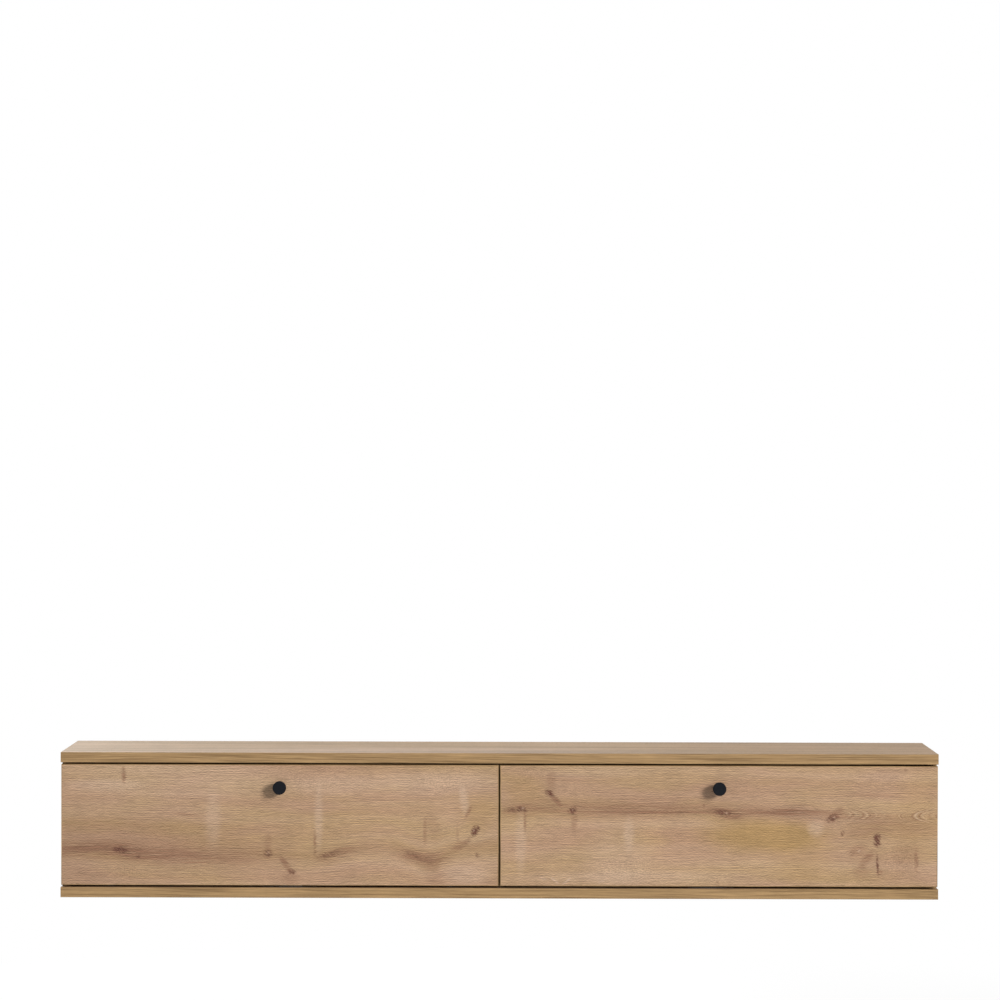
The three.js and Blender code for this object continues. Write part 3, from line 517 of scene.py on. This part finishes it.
def decor(g, place, size, seed, marks=(), path=(), strengths=(), knots=(), arcs=(), yellow=0.0, swathes=0.12):
    """The printed oak at a place along, up and through a board: its colour, and its grain's height.

    yellow is the least share of the yellower oak, and swathes is how strongly broad streaks change the tone.
    """
    along, up, through = place
    face = g.combine(*place)
    sway = g.noise(face, SWAY_CELLS, 1.0, shift=seed)
    field = g.stray(grain_field(g, face, along, up, size, path, knots), sway, GRAIN_SWAY)
    lane = g.math("MULTIPLY_ADD", g.math("SUBTRACT", field, up), FINE_BEND, up)
    places = {
        "face": face,
        "grain": g.combine(along, field, through),
        "fine": g.combine(along, lane, through),
        "slanted": g.node("Mapping", {"Vector": face, "Rotation": (0, 0, STROKE_TILT)}).outputs[0],
    }
    noise = {
        name: g.noise(places[follows], cells, detail, roughness, seed + shift)
        for name, (follows, cells, detail, roughness, shift) in PRINT_NOISE.items()
    }
    long_lines = crisp(g, places["fine"], LONG_LINES, seed + LONG_LINES_SHIFT)
    short_lines = crisp(g, places["fine"], SHORT_LINES, seed + SHORT_LINES_SHIFT)

    # Ragged places for the marks, so that their rims follow the fibres
    ragged = g.combine(
        g.stray(along, noise["fibres"], FRAY_ALONG), g.stray(up, noise["flecks"], FRAY_ACROSS), through
    )
    masks = {kind: [] for kind in ("dark", "brown", "pale", "gold", "heart", "tick")}
    for kind, *ellipse, strength in marks:
        masks[kind].append((strength, spot(g, ragged, *ellipse)))
    masks = {kind: add_up(g, terms) for kind, terms in masks.items()}
    streaks = g.remap(noise["threads"], *STREAK_SPAN)
    dark = g.math("MULTIPLY", masks["dark"], g.remap(noise["strokes"], *STROKE_SPAN))
    brown = g.math("MULTIPLY", masks["brown"], streaks)
    pale = g.math("MULTIPLY", masks["pale"], g.remap(noise["flecks"], *PALE_SPAN))

    if path:
        share, line = growth_band(g, along, size, path)
        frayed = add_up(g, (
            (1.0, up),
            (GROWTH_THREADS, g.centred(noise["threads"])),
            (GROWTH_LINES, g.centred(noise["lines"])),
        ))
        away = g.math("ABSOLUTE", g.math("SUBTRACT", frayed, line))
        near = g.remap(away, GROWTH_CORE, GROWTH_REACH, GROWTH_STRENGTH, 0, soft=True)
        brown = g.math("MULTIPLY_ADD", g.math("MULTIPLY", near, g.curve(share, strengths)), streaks, brown)

    # Nested arcs of a flame, pointing along the board
    for x, z, half_length, half_width, bend, spacing in arcs:
        offset = g.math("SUBTRACT", up, z)
        bent = g.math("MULTIPLY_ADD", g.math("MULTIPLY", offset, offset), bend, along)
        bent = g.stray(bent, noise["threads"], ARC_FRAY)
        inputs = {"W": g.math("DIVIDE", bent, spacing), "Scale": 1.0, "Detail": 1.0}
        wave = g.centred(g.node("TexNoise", inputs, noise_dimensions="1D").outputs[0])
        wave = g.math("MULTIPLY", wave, spot(g, face, x, z, half_length, half_width))
        brown = g.math("MULTIPLY_ADD", wave, ARC_BROWN, brown)
        pale = g.math("MULTIPLY_ADD", wave, -ARC_PALE, pale)

    tone = add_up(g, (
        (swathes, g.centred(noise["broad"])),
        *((weight, g.centred(noise[name])) for name, weight in TONE_WEIGHTS.items()),
        (1.0, short_lines),
    ))
    hatching = g.math("ADD", g.remap(noise["tick_patches"], *HATCHING_SPAN), masks["tick"])
    tone = g.math("MULTIPLY_ADD", g.centred(noise["ticks"]), hatching, tone)
    tone = g.math("MULTIPLY_ADD", long_lines, g.remap(hatching, *LONG_LINES_SPAN), tone)
    pits = g.remap(noise["pores"], *PIT_SPAN)
    tone = g.math("MULTIPLY_ADD", pits, -PIT_SHADE, tone)
    tone = g.math("MINIMUM", g.math("MAXIMUM", tone, TONE_LOW), TONE_HIGH)

    colour = g.mix(g.remap(noise["hues"], *HUE_SPAN, yellow), OAK, OAK_YELLOW)
    colour = g.mix(g.remap(noise["broad"], *PALE_STREAK_SPAN), colour, OAK_PALE)
    colour = g.mix(g.share(masks["gold"]), colour, OAK_GOLD)
    colour = g.mix(g.share(pale), colour, OAK_PALE)
    colour = g.mix(g.share(brown, BROWN_COVER), colour, OAK_BROWN)
    colour = g.mix(g.share(dark, DARK_COVER), colour, OAK_DARK)
    colour = g.mix(g.share(masks["heart"]), colour, OAK_PALE)
    colour = g.scale_colour(colour, g.math("ADD", tone, 1.0))
    height = g.math("MULTIPLY_ADD", noise["fibres"], GRAIN_HEIGHT, g.math("SUBTRACT", 1.0, pits))
    return colour, height


def band(g, run, across, seed):
    """The edge band: straight, yellower grain along run."""
    drift = g.noise(g.combine(run, across), *BAND_DRIFT, seed)
    lane = g.math("MULTIPLY_ADD", run, BAND_SLANT, g.stray(across, drift, BAND_SWAY))
    grain = g.combine(run, lane)
    noise = {
        name: g.noise(grain, cells, detail, roughness, seed + shift)
        for name, (cells, detail, roughness, shift) in BAND_NOISE.items()
    }
    colour = g.mix(g.remap(noise["lines"], *BAND_DARK_SPAN), BAND, BAND_DARK)
    tone = add_up(g, [(weight, g.centred(noise[name])) for name, weight in BAND_WEIGHTS.items()])
    return g.scale_colour(colour, g.math("ADD", tone, 1.0)), noise["fine"]


def chipboard(g, place):
    """The raw core that shows in holes, grooves and unbanded edges."""
    flakes = g.noise(place, *CHIP_FLAKES)
    patches = g.noise(place, *CHIP_PATCHES)
    colour = g.mix(g.remap(flakes, *CHIP_COLOUR_SPAN), CHIP_DARK, CHIP_PALE)
    return g.scale_colour(colour, g.remap(patches, *CHIP_TONE_SPAN)), flakes


def nearest_band(g, distance, length, ends):
    """The distance to the nearer banded end, from the distance to the start."""
    return g.math(
        "MINIMUM",
        distance if "start" in ends else NO_BAND,
        g.math("SUBTRACT", length, distance) if "end" in ends else NO_BAND,
    )


def board(node, axes, banded, seed, main="LESS_THAN", **print_look):
    """A board's material: decor on its faces, bands on its banded edges and chipboard elsewhere.

    axes are the grain, the other face direction and the thickness; banded names the banded ends of the first
    two. main says on which side of the mid-plane the face with the marks lies, and print_look goes to decor.
    """
    low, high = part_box(node)
    index = ["xyz".index(axis) for axis in axes]
    size = [(high[i] - low[i]) / MM for i in index]

    def build(g):
        parts = g.node("SeparateXYZ", {0: g.node("TexCoord").outputs["Object"]}).outputs
        along, up, through = (g.math("MULTIPLY_ADD", parts[i], 1 / MM, -low[i] / MM) for i in index)
        second = g.math("SUBTRACT", 1.0, g.math(main, through, size[2] / 2))
        printed = g.math("MULTIPLY_ADD", second, OTHER_FACE, along)
        face_colour, face_height = decor(g, (printed, up, through), size, seed, **print_look)
        core_colour, core_height = chipboard(g, g.combine(along, up, through))

        to_end = nearest_band(g, along, size[0], banded[0])
        to_side = nearest_band(g, up, size[1], banded[1])
        at_end = g.math("LESS_THAN", to_end, to_side)
        run = g.math("MULTIPLY_ADD", g.math("SUBTRACT", up, along), at_end, along)
        band_colour, band_height = band(g, run, through, seed)
        edge = g.math("MINIMUM", to_end, to_side)
        in_band = g.math("LESS_THAN", edge, BAND_THICKNESS)
        from_seam = g.math("ABSOLUTE", g.math("SUBTRACT", edge, BAND_THICKNESS))
        seam = g.remap(from_seam, 0, SEAM, SEAM_STRENGTH, 0)
        depth = g.math("MINIMUM", through, g.math("SUBTRACT", size[2], through))
        below_skin = g.math("GREATER_THAN", depth, DECOR_SKIN)
        in_core = g.math("MULTIPLY", below_skin, g.math("SUBTRACT", 1.0, in_band))

        colour = g.mix(in_core, face_colour, core_colour)
        colour = g.mix(seam, colour, SEAM_COLOUR)
        colour = g.mix(in_band, colour, band_colour)
        height = g.math("MULTIPLY_ADD", g.math("SUBTRACT", band_height, face_height), in_band, face_height)
        height = g.math("MULTIPLY_ADD", g.math("SUBTRACT", core_height, height), in_core, height)
        inputs = {
            "Base Color": colour,
            "Roughness": g.math("MULTIPLY_ADD", face_height, -GRAIN_GLOSS, BOARD_ROUGHNESS),
            "Specular IOR Level": BOARD_SPECULAR,
        }
        return inputs, (height, EMBOSS_DEPTH, EMBOSS_STRENGTH)

    return material(node + "_oak", build)


BOTH = ("start", "end")
BOARDS = {
    "top_panel": dict(
        axes="xyz", banded=(BOTH, ("start",)), seed=1.0, main="GREATER_THAN", marks=TOP_MARKS_AND_PAINTED_SHEEN, yellow=1.0,
        swathes=0.8,
    ),
    "bottom_panel": dict(axes="xyz", banded=(BOTH, ("start",)), seed=21.0),
    "side_panel_left": dict(axes="yzx", banded=(("start",), ()), seed=31.0),
    "side_panel_right": dict(axes="yzx", banded=(("start",), ()), seed=41.0),
    "middle_divider": dict(axes="yzx", banded=(("start",), ()), seed=51.0),
    "flap_door_left": dict(
        axes="xzy", banded=(BOTH, BOTH), seed=61.0, marks=LEFT_MARKS, path=LEFT_PATH_SHARES,
        strengths=LEFT_STRENGTH_SHARES, knots=LEFT_KNOTS,
    ),
    "flap_door_right": dict(
        axes="xzy", banded=(BOTH, BOTH), seed=71.0, marks=RIGHT_MARKS, path=RIGHT_PATH_SHARES,
        strengths=RIGHT_STRENGTH_SHARES, knots=RIGHT_KNOTS, arcs=RIGHT_ARCS,
    ),
}


# Metals, plastics and hardboard

SLOW_CELLS = 14  # the slow noise's cells over the fine noise's
FINE_DETAIL = 3.0
SLOW_DETAIL = 2.0
FINISH_COLOUR_SPAN = (0.35, 0.65)
FINISH_ROUGH_SPAN = (0.3, 0.7)
FINISH_BUMP = 0.2 * MM  # a finish's bump for a cell of 1 mm
HAIR_TURNS = 4
HAIR_SHIFT = 7.0
HAIR_COVER = 0.5
HAIR_HEIGHT = 0.06 * MM
HAIR_BUMP = 0.5
HARDBOARD_ROUGHNESS = 0.72
HARDBOARD_TONE = 0.82  # what the slow and the fine noise add to
HARDBOARD_SLOW_WEIGHT = 0.16
HARDBOARD_FINE_WEIGHT = 0.22


def object_place(g, size):
    """Object coordinates in cells of one size."""
    coordinates = g.node("TexCoord").outputs["Object"]
    return g.vector("MULTIPLY", coordinates, (1 / (MM * size),) * 3)


def surface(colour, other, metallic, roughness, spread, cell, bump, **extra):
    """A plain finish with a fine grain: two near colours, mixed and roughened by slow noise."""
    def build(g):
        fine, slow = (
            g.node("TexNoise", {"Vector": object_place(g, cells), "Scale": 1.0, "Detail": detail}).outputs[0]
            for cells, detail in ((cell, FINE_DETAIL), (cell * SLOW_CELLS, SLOW_DETAIL))
        )
        inputs = {
            "Base Color": g.mix(g.remap(slow, *FINISH_COLOUR_SPAN), colour, other),
            "Roughness": g.remap(slow, *FINISH_ROUGH_SPAN, roughness - spread, roughness + spread),
            "Metallic": metallic,
            **extra,
        }
        return inputs, (fine, cell * FINISH_BUMP, bump)
    return build


def hardboard(g):
    """Pressed fibres: short hairs lying every way, on a colour that hardly changes."""
    place = object_place(g, 1.0)
    shade = 0.0
    for turn in range(HAIR_TURNS):
        rotation = (0, math.pi * turn / HAIR_TURNS, 0)
        laid = g.node("Mapping", {"Vector": place, "Rotation": rotation}).outputs[0]
        hairs = g.noise(laid, *HAIR_NOISE, HAIR_SHIFT * turn)
        shade = g.math("MAXIMUM", shade, g.remap(hairs, *HAIR_SPAN))
    slow = g.noise(place, *HARDBOARD_SLOW)
    fine = g.noise(place, *HARDBOARD_FINE)
    colour = g.mix(g.math("MULTIPLY", shade, HAIR_COVER), HARDBOARD, HARDBOARD_HAIR)
    mottle = add_up(g, ((HARDBOARD_SLOW_WEIGHT, slow), (HARDBOARD_FINE_WEIGHT, fine)))
    tone = g.math("ADD", mottle, HARDBOARD_TONE)
    inputs = {"Base Color": g.scale_colour(colour, tone), "Roughness": HARDBOARD_ROUGHNESS}
    return inputs, (shade, HAIR_HEIGHT, HAIR_BUMP)


# A plain finish's two colours, metallic, roughness and its spread, cell and bump
FINISHES = {
    "knob_black": surface(
        (0.003, 0.004, 0.006), (0.005, 0.006, 0.009), 0.0, 0.50, 0.04, 0.5, 0.5,
        **{"Specular IOR Level": 0.17},
    ),
    "hinge_nickel": surface((0.60, 0.58, 0.54), (0.64, 0.62, 0.58), 1.0, 0.31, 0.02, 0.35, 0.06),
    "fastener_steel": surface((0.54, 0.55, 0.57), (0.60, 0.60, 0.60), 1.0, 0.36, 0.03, 0.35, 0.08),
    "cam_zinc": surface((0.57, 0.56, 0.51), (0.64, 0.62, 0.55), 1.0, 0.48, 0.04, 0.4, 0.30),
    "grey_plastic": surface((0.26, 0.27, 0.28), (0.30, 0.31, 0.32), 0.0, 0.55, 0.05, 0.35, 0.4),
    "bumper_rubber": surface((0.72, 0.72, 0.72), (0.78, 0.78, 0.77), 0.0, 0.45, 0.05, 0.8, 0.1),
    "back_board": hardboard,
}

finishes = {slot: material(slot + "_finish", build) for slot, build in FINISHES.items()}
for part in frame["record"]["subparts"]:
    name = part["node"]
    chosen = board(name, **BOARDS[name]) if name in BOARDS else finishes[part["material_slot"]]
    nodes[name].material_slots[0].material = chosen


# Meshes for the pieces made here

SHARP_ANGLE = math.radians(35)


def new_piece(name, mesh, body, slot):
    """A mesh as a piece in its slot's finish, riding on a body."""
    made = bpy.data.objects.new(name, mesh)
    bpy.context.scene.collection.objects.link(made)
    mesh.materials.append(finishes[slot])
    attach(made, body)
    return made


def new_mesh(name, verts, faces):
    """A mesh with smooth shading, which keeps every edge sharper than SHARP_ANGLE."""
    mesh = bpy.data.meshes.new(name)
    mesh.from_pydata(verts, [], faces)
    mesh.update()
    mesh.polygons.foreach_set("use_smooth", [True] * len(mesh.polygons))
    mesh.set_sharp_from_angle(angle=SHARP_ANGLE)
    return mesh


def placed(place, way, spin=0.0):
    """The matrix that moves a thing from the origin to a place and points its z axis a way."""
    turned = way.to_track_quat("Z", "Y").to_matrix().to_4x4()
    return Matrix.Translation(place) @ turned @ Matrix.Rotation(spin, 4, "Z")


def ring_points(matrix, angles, radii, out):
    """A ring of points round the axis, with a radius for each angle."""
    return [matrix @ Vector((r * math.cos(a), r * math.sin(a), out)) for a, r in zip(angles, radii)]


def ring_faces(first, rings, count, foot, tip):
    """Faces that join rings of count points, from point first on, and close each end to one point."""
    faces = []
    last = first + (rings - 1) * count
    for step in range(count):
        after = (step + 1) % count
        faces.append((foot, first + after, first + step))
        faces.append((tip, last + step, last + after))
        for ring in range(rings - 1):
            start = first + ring * count
            faces.append((start + step, start + after, start + count + after, start + count + step))
    return faces


def turned_mesh(name, profile, facets, place, way):
    """A solid turned about the axis from place along way, from points of radius and distance out."""
    matrix = placed(place, way)
    angles = [2 * math.pi * step / facets for step in range(facets)]
    rings = [point for point in profile if point[0] > 0]
    verts = [matrix @ Vector((0, 0, profile[0][1])), matrix @ Vector((0, 0, profile[-1][1]))]
    for radius, out in rings:
        verts += ring_points(matrix, angles, [radius] * facets, out)
    return new_mesh(name, verts, ring_faces(2, len(rings), facets, 0, 1))


def arc(centre_radius, centre_out, radius, start, end, steps):
    """Points of an arc in a turned profile, from one angle to another in degrees, both ends among them."""
    turn = [math.radians(start + (end - start) * i / steps) for i in range(steps + 1)]
    return [(centre_radius + radius * math.cos(t), centre_out + radius * math.sin(t)) for t in turn]


# Knobs, with the profile of the solids they replace

KNOB_HEAD = 11.0 * MM
KNOB_STEM = 5.0 * MM
KNOB_FOOT = 7.0 * MM
KNOB_FOOT_LENGTH = 2.0 * MM
KNOB_FLARE = 4.0 * MM
KNOB_EDGE = 1.2 * MM
KNOB_FACETS = 96
FILLET_STEPS = 8
BACK_EDGE_STEPS = 6

for side in SIDES:
    low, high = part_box("knob_" + side)
    radius, length = (high.x - low.x) / 2, high.y - low.y
    base = Vector(((low.x + high.x) / 2, high.y, (low.z + high.z) / 2))
    fillet = KNOB_FOOT - KNOB_STEM
    rim = radius - KNOB_EDGE
    profile = [
        (0, 0), (KNOB_FOOT, 0), (KNOB_FOOT, KNOB_FOOT_LENGTH),
        *arc(KNOB_FOOT, KNOB_FOOT_LENGTH + fillet, fillet, 270, 180, FILLET_STEPS)[1:],
        (KNOB_STEM, length - KNOB_HEAD - KNOB_FLARE),
        (rim, length - KNOB_HEAD),
        *arc(rim, length - KNOB_HEAD + KNOB_EDGE, KNOB_EDGE, -90, 0, BACK_EDGE_STEPS)[1:],
        *arc(rim, length - KNOB_EDGE, KNOB_EDGE, 0, 90, FILLET_STEPS),
        (0, length),
    ]
    mesh = turned_mesh("knob_look_" + side, profile, KNOB_FACETS, base, FRONT)
    knob = new_piece("knob_look_" + side, mesh, side + "_flap", "knob_black")
    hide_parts("knob_" + side)


# Bumpers: domes on the doors

BUMPER_EDGE = 1.8 * MM
BUMPER_FACETS = 40

for side in SIDES:
    low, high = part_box("door_bumper_" + side)
    radius, length = (high.x - low.x) / 2, high.y - low.y
    base = Vector(((low.x + high.x) / 2, low.y, (low.z + high.z) / 2))
    profile = [
        (0, 0), (radius, 0),
        *arc(radius - BUMPER_EDGE, length - BUMPER_EDGE, BUMPER_EDGE, 0, 90, FILLET_STEPS),
        (0, length),
    ]
    mesh = turned_mesh("bumper_look_" + side, profile, BUMPER_FACETS, base, -FRONT)
    bumper = new_piece("bumper_look_" + side, mesh, side + "_flap", "bumper_rubber")
    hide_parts("door_bumper_" + side)


# Screw heads of the fittings

SUNK = 0.1 * MM  # how deep a head sits in the plate under it
HEAD_RINGS = ((1.0, 0.0), (1.0, 0.40), (0.94, 0.72), (0.76, 0.95), (0.62, 1.0))  # shares of radius and height
RECESS_RINGS = ((1.0, 1.0), (0.86, 0.45), (0.5, 0.15))  # shares of the cross's reach and of the height
CROSS_REACH = 0.52  # of the head's radius
CROSS_HALF = 0.12
CROSS_CORNER = math.atan2(CROSS_HALF, CROSS_REACH)
CROSS_QUARTER = (0.0, CROSS_CORNER, *(math.radians(a) for a in (28, 45, 62)), math.pi / 2 - CROSS_CORNER)
FIRST_SPIN = 0.3  # how far the first head of a piece is turned, and each next one beyond it
NEXT_SPIN = 0.9

# Radius and height of each kind of head
CUP_SCREW = (3.8 * MM, 1.6 * MM)
PLATE_SCREW = (4.0 * MM, 1.8 * MM)
ARM_SCREW = (3.4 * MM, 1.6 * MM)
BRACKET_SCREW = (3.6 * MM, 1.6 * MM)
STAY_ADJUSTER = (2.6 * MM, 2.0 * MM)
STAY_SCREW = (3.0 * MM, 1.2 * MM)
HANGER_ADJUSTER = (3.1 * MM, 2.2 * MM)
HANGER_SCREW = (3.6 * MM, 1.4 * MM)

# Where they sit on the solids
EAR_HOLE_SPACING = 48.0 * MM
MOUNT_HOLE_SPACING = 32.0 * MM
MOUNT_WING = 2.0 * MM
ARM_FOOT_TOP = 6.0 * MM  # above the hinge pin
ARM_SCREWS_BEHIND = (42 * MM, 62 * MM)  # behind the hinge pin
BRACKET_BASE = 2.0 * MM
BRACKET_SPACING = 30 * MM
RECESS_DEPTH = 3.0 * MM
STAY_ADJUSTER_FRONT = 42 * MM  # from the housing's front, and from its rear
STAY_ADJUSTER_REAR = 17 * MM
STAY_SCREW_FRONT = 35 * MM
STAY_SCREW_REAR = 10 * MM
STAY_SCREW_RISE = 8.5 * MM  # the front one above the middle, the rear one below it
HANGER_ADJUSTERS_DOWN = (10 * MM, 26 * MM)  # below the housing's top
HANGER_SCREWS_DOWN = 32 * MM
HANGER_SCREWS_IN = 14 * MM  # from the housing's front and rear


def cross_radius(angle):
    """How far the cross recess reaches at an angle, as a share of the head's radius."""
    wide, narrow = sorted((abs(math.cos(angle)), abs(math.sin(angle))), reverse=True)
    return min(CROSS_REACH / wide, CROSS_HALF / max(narrow, 1e-6))


def screw_heads(name, body, heads):
    """One piece of pan heads with cross recesses; a head has a place, a way out, and a radius and height."""
    angles = [turn * math.pi / 2 + angle for turn in range(4) for angle in CROSS_QUARTER]
    count = len(angles)
    rings = len(HEAD_RINGS) + len(RECESS_RINGS)
    verts, faces = [], []
    for number, (place, way, (radius, height)) in enumerate(heads):
        matrix = placed(place, way, NEXT_SPIN * number + FIRST_SPIN)
        first = len(verts)
        for share, level in HEAD_RINGS:
            verts += ring_points(matrix, angles, [share * radius] * count, level * height)
        for share, level in RECESS_RINGS:
            radii = [share * cross_radius(a) * radius for a in angles]
            verts += ring_points(matrix, angles, radii, level * height)
        foot, pit = len(verts), len(verts) + 1
        verts += [
            matrix @ Vector((0, 0, HEAD_RINGS[0][1] * height)),
            matrix @ Vector((0, 0, RECESS_RINGS[-1][1] * height)),
        ]
        faces += ring_faces(first, rings, count, foot, pit)
    return new_piece(name, new_mesh(name, verts, faces), body, "fastener_steel")


anchors = {joint["name"]: Vector(joint["pos_m"]) for joint in frame["joints"]}
for side, sign in zip(SIDES, (-1, 1)):
    flap_body = side + "_flap"
    pivot = anchors[side + "_flap_hinge"]
    inward = Vector((-sign, 0, 0))
    for where in ("inner", "outer"):
        tag = f"{side}_{where}"
        low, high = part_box("hinge_cup_" + tag)
        x, z = (low.x + high.x) / 2, (low.z + high.z) / 2
        screw_heads("cup_screws_" + tag, flap_body, [
            (Vector((x + shift * EAR_HOLE_SPACING / 2, high.y - SUNK, z)), -FRONT, CUP_SCREW)
            for shift in (-1, 1)
        ])
        low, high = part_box("hinge_mount_" + tag)
        y, z = (low.y + high.y) / 2, low.z + MOUNT_WING - SUNK
        plate = [
            (Vector((x + shift * MOUNT_HOLE_SPACING / 2, y, z)), UP, PLATE_SCREW) for shift in (-1, 1)
        ]
        arm = [
            (Vector((x, pivot.y + behind, pivot.z + ARM_FOOT_TOP - SUNK)), UP, ARM_SCREW)
            for behind in ARM_SCREWS_BEHIND
        ]
        screw_heads("mount_screws_" + tag, "case", plate + arm)

    low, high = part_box("stay_bracket_" + side)
    x, y, z = (low.x + high.x) / 2, low.y + BRACKET_BASE - SUNK, (low.z + high.z) / 2
    screw_heads("bracket_screws_" + side, flap_body, [
        (Vector((x, y, z + shift * BRACKET_SPACING / 2)), -FRONT, BRACKET_SCREW) for shift in (-1, 1)
    ])

    low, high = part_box("stay_housing_" + side)
    face = low.x if sign > 0 else high.x
    z = (low.z + high.z) / 2
    adjusters = [
        (Vector((face + sign * RECESS_DEPTH, y, z)), inward, STAY_ADJUSTER)
        for y in (low.y + STAY_ADJUSTER_FRONT, high.y - STAY_ADJUSTER_REAR)
    ]
    places = ((low.y + STAY_SCREW_FRONT, STAY_SCREW_RISE), (high.y - STAY_SCREW_REAR, -STAY_SCREW_RISE))
    screws = [(Vector((face + sign * SUNK, y, z + rise)), inward, STAY_SCREW) for y, rise in places]
    screw_heads("stay_screws_" + side, "case", adjusters + screws)

    low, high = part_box("hanger_housing_" + side)
    x = (low.x + high.x) / 2
    face = low.x if sign > 0 else high.x
    adjusters = [
        (Vector((x, low.y + RECESS_DEPTH, high.z - down)), FRONT, HANGER_ADJUSTER)
        for down in HANGER_ADJUSTERS_DOWN
    ]
    screws = [
        (Vector((face + sign * SUNK, y, high.z - HANGER_SCREWS_DOWN)), inward, HANGER_SCREW)
        for y in (low.y + HANGER_SCREWS_IN, high.y - HANGER_SCREWS_IN)
    ]
    screw_heads("hanger_screws_" + side, "case", adjusters + screws)


# Stage

def seen_by(g):
    """1 for camera, glossy and transmission rays, and 0 for all others."""
    path = g.node("LightPath").outputs
    total = g.math("ADD", path["Is Camera Ray"], path["Is Glossy Ray"])
    return g.math("ADD", total, path["Is Transmission Ray"], clamp=True)


def floor_material():
    """A pale floor that keeps the object's shadow and fades to white away from it."""
    made = bpy.data.materials.new("floor")
    made.use_nodes = True
    g = Graph(made.node_tree)
    away = g.length(g.node("TexCoord").outputs["Object"])
    far = g.remap(away, FLOOR_NEAR, FLOOR_FAR, soft=True)
    seen = seen_by(g)
    lit = g.node("BsdfDiffuse", {"Color": FLOOR_COLOUR}).outputs[0]
    glow = g.node("Emission", {"Strength": g.math("MULTIPLY", seen, FLOOR_LIFT)}).outputs[0]
    near = g.node("AddShader", {0: lit, 1: glow}).outputs[0]
    white = g.node("Emission", {"Strength": 1.0}).outputs[0]
    both = g.node("MixShader", {0: g.math("MULTIPLY", far, seen), 1: near, 2: white}).outputs[0]
    # From below the floor is clear, so that the underside can be looked at
    beneath = g.node("NewGeometry").outputs["Backfacing"]
    clear = g.node("BsdfTransparent").outputs[0]
    shown = g.node("MixShader", {0: beneath, 1: both, 2: clear}).outputs[0]
    g.node("OutputMaterial", {"Surface": shown})
    return made


def floor():
    """A level floor, centred below the object."""
    mesh = bpy.data.meshes.new("floor")
    half = FLOOR_SIZE / 2
    corners = [(-half, -half, 0), (half, -half, 0), (half, half, 0), (-half, half, 0)]
    mesh.from_pydata(corners, [], [(0, 1, 2, 3)])
    made = bpy.data.objects.new("floor", mesh)
    low, high = cad_box
    made.location = ((low.x + high.x) / 2, (low.y + high.y) / 2, low.z - FLOOR_DROP)
    mesh.materials.append(floor_material())
    bpy.context.scene.collection.objects.link(made)


def world():
    """A white world that the camera and reflections see, with a dimmer one that lights the object."""
    made = bpy.data.worlds.new("studio")
    bpy.context.scene.world = made
    made.use_nodes = True
    g = Graph(made.node_tree)
    ambient = g.node("Background", {"Color": WHITE, "Strength": AMBIENT}).outputs[0]
    white = g.node("Background", {"Color": WHITE, "Strength": 1.0}).outputs[0]
    both = g.node("MixShader", {0: seen_by(g), 1: ambient, 2: white}).outputs[0]
    g.node("OutputWorld", {"Surface": both})


def soft_box(name, azimuth, elevation, distance, size, power, in_gloss):
    """A round lamp aimed at the middle, hidden from the camera."""
    data = bpy.data.lights.new(name, "AREA")
    data.shape = "DISK"
    data.size = size
    data.energy = power
    made = bpy.data.objects.new(name, data)
    a, e = math.radians(azimuth), math.radians(elevation)
    towards = Vector((math.sin(a) * math.cos(e), -math.cos(a) * math.cos(e), math.sin(e)))
    made.location = towards * distance
    made.rotation_euler = towards.to_track_quat("Z", "Y").to_euler()
    made.visible_camera = False
    made.visible_glossy = in_gloss
    bpy.context.scene.collection.objects.link(made)


def camera():
    """The photograph's view: yaw and pitch are counted from straight along +y, roll about the view."""
    data = bpy.data.cameras.new("camera")
    data.sensor_width = SENSOR
    data.lens = SENSOR * FOCAL_SHARE
    data.clip_start, data.clip_end = CLIP_NEAR, CLIP_FAR
    made = bpy.data.objects.new("camera", data)
    turn = Matrix.Rotation(CAMERA_YAW, 4, "Z") @ Matrix.Rotation(math.pi / 2 + CAMERA_PITCH, 4, "X")
    made.matrix_world = Matrix.Translation(CAMERA_PLACE) @ turn @ Matrix.Rotation(CAMERA_ROLL, 4, "Z")
    bpy.context.scene.collection.objects.link(made)
    bpy.context.scene.camera = made


floor()
world()
for name, lamp in LAMPS.items():
    soft_box(name, *lamp)
camera()
bpy.context.scene.view_settings.view_transform = "Standard"
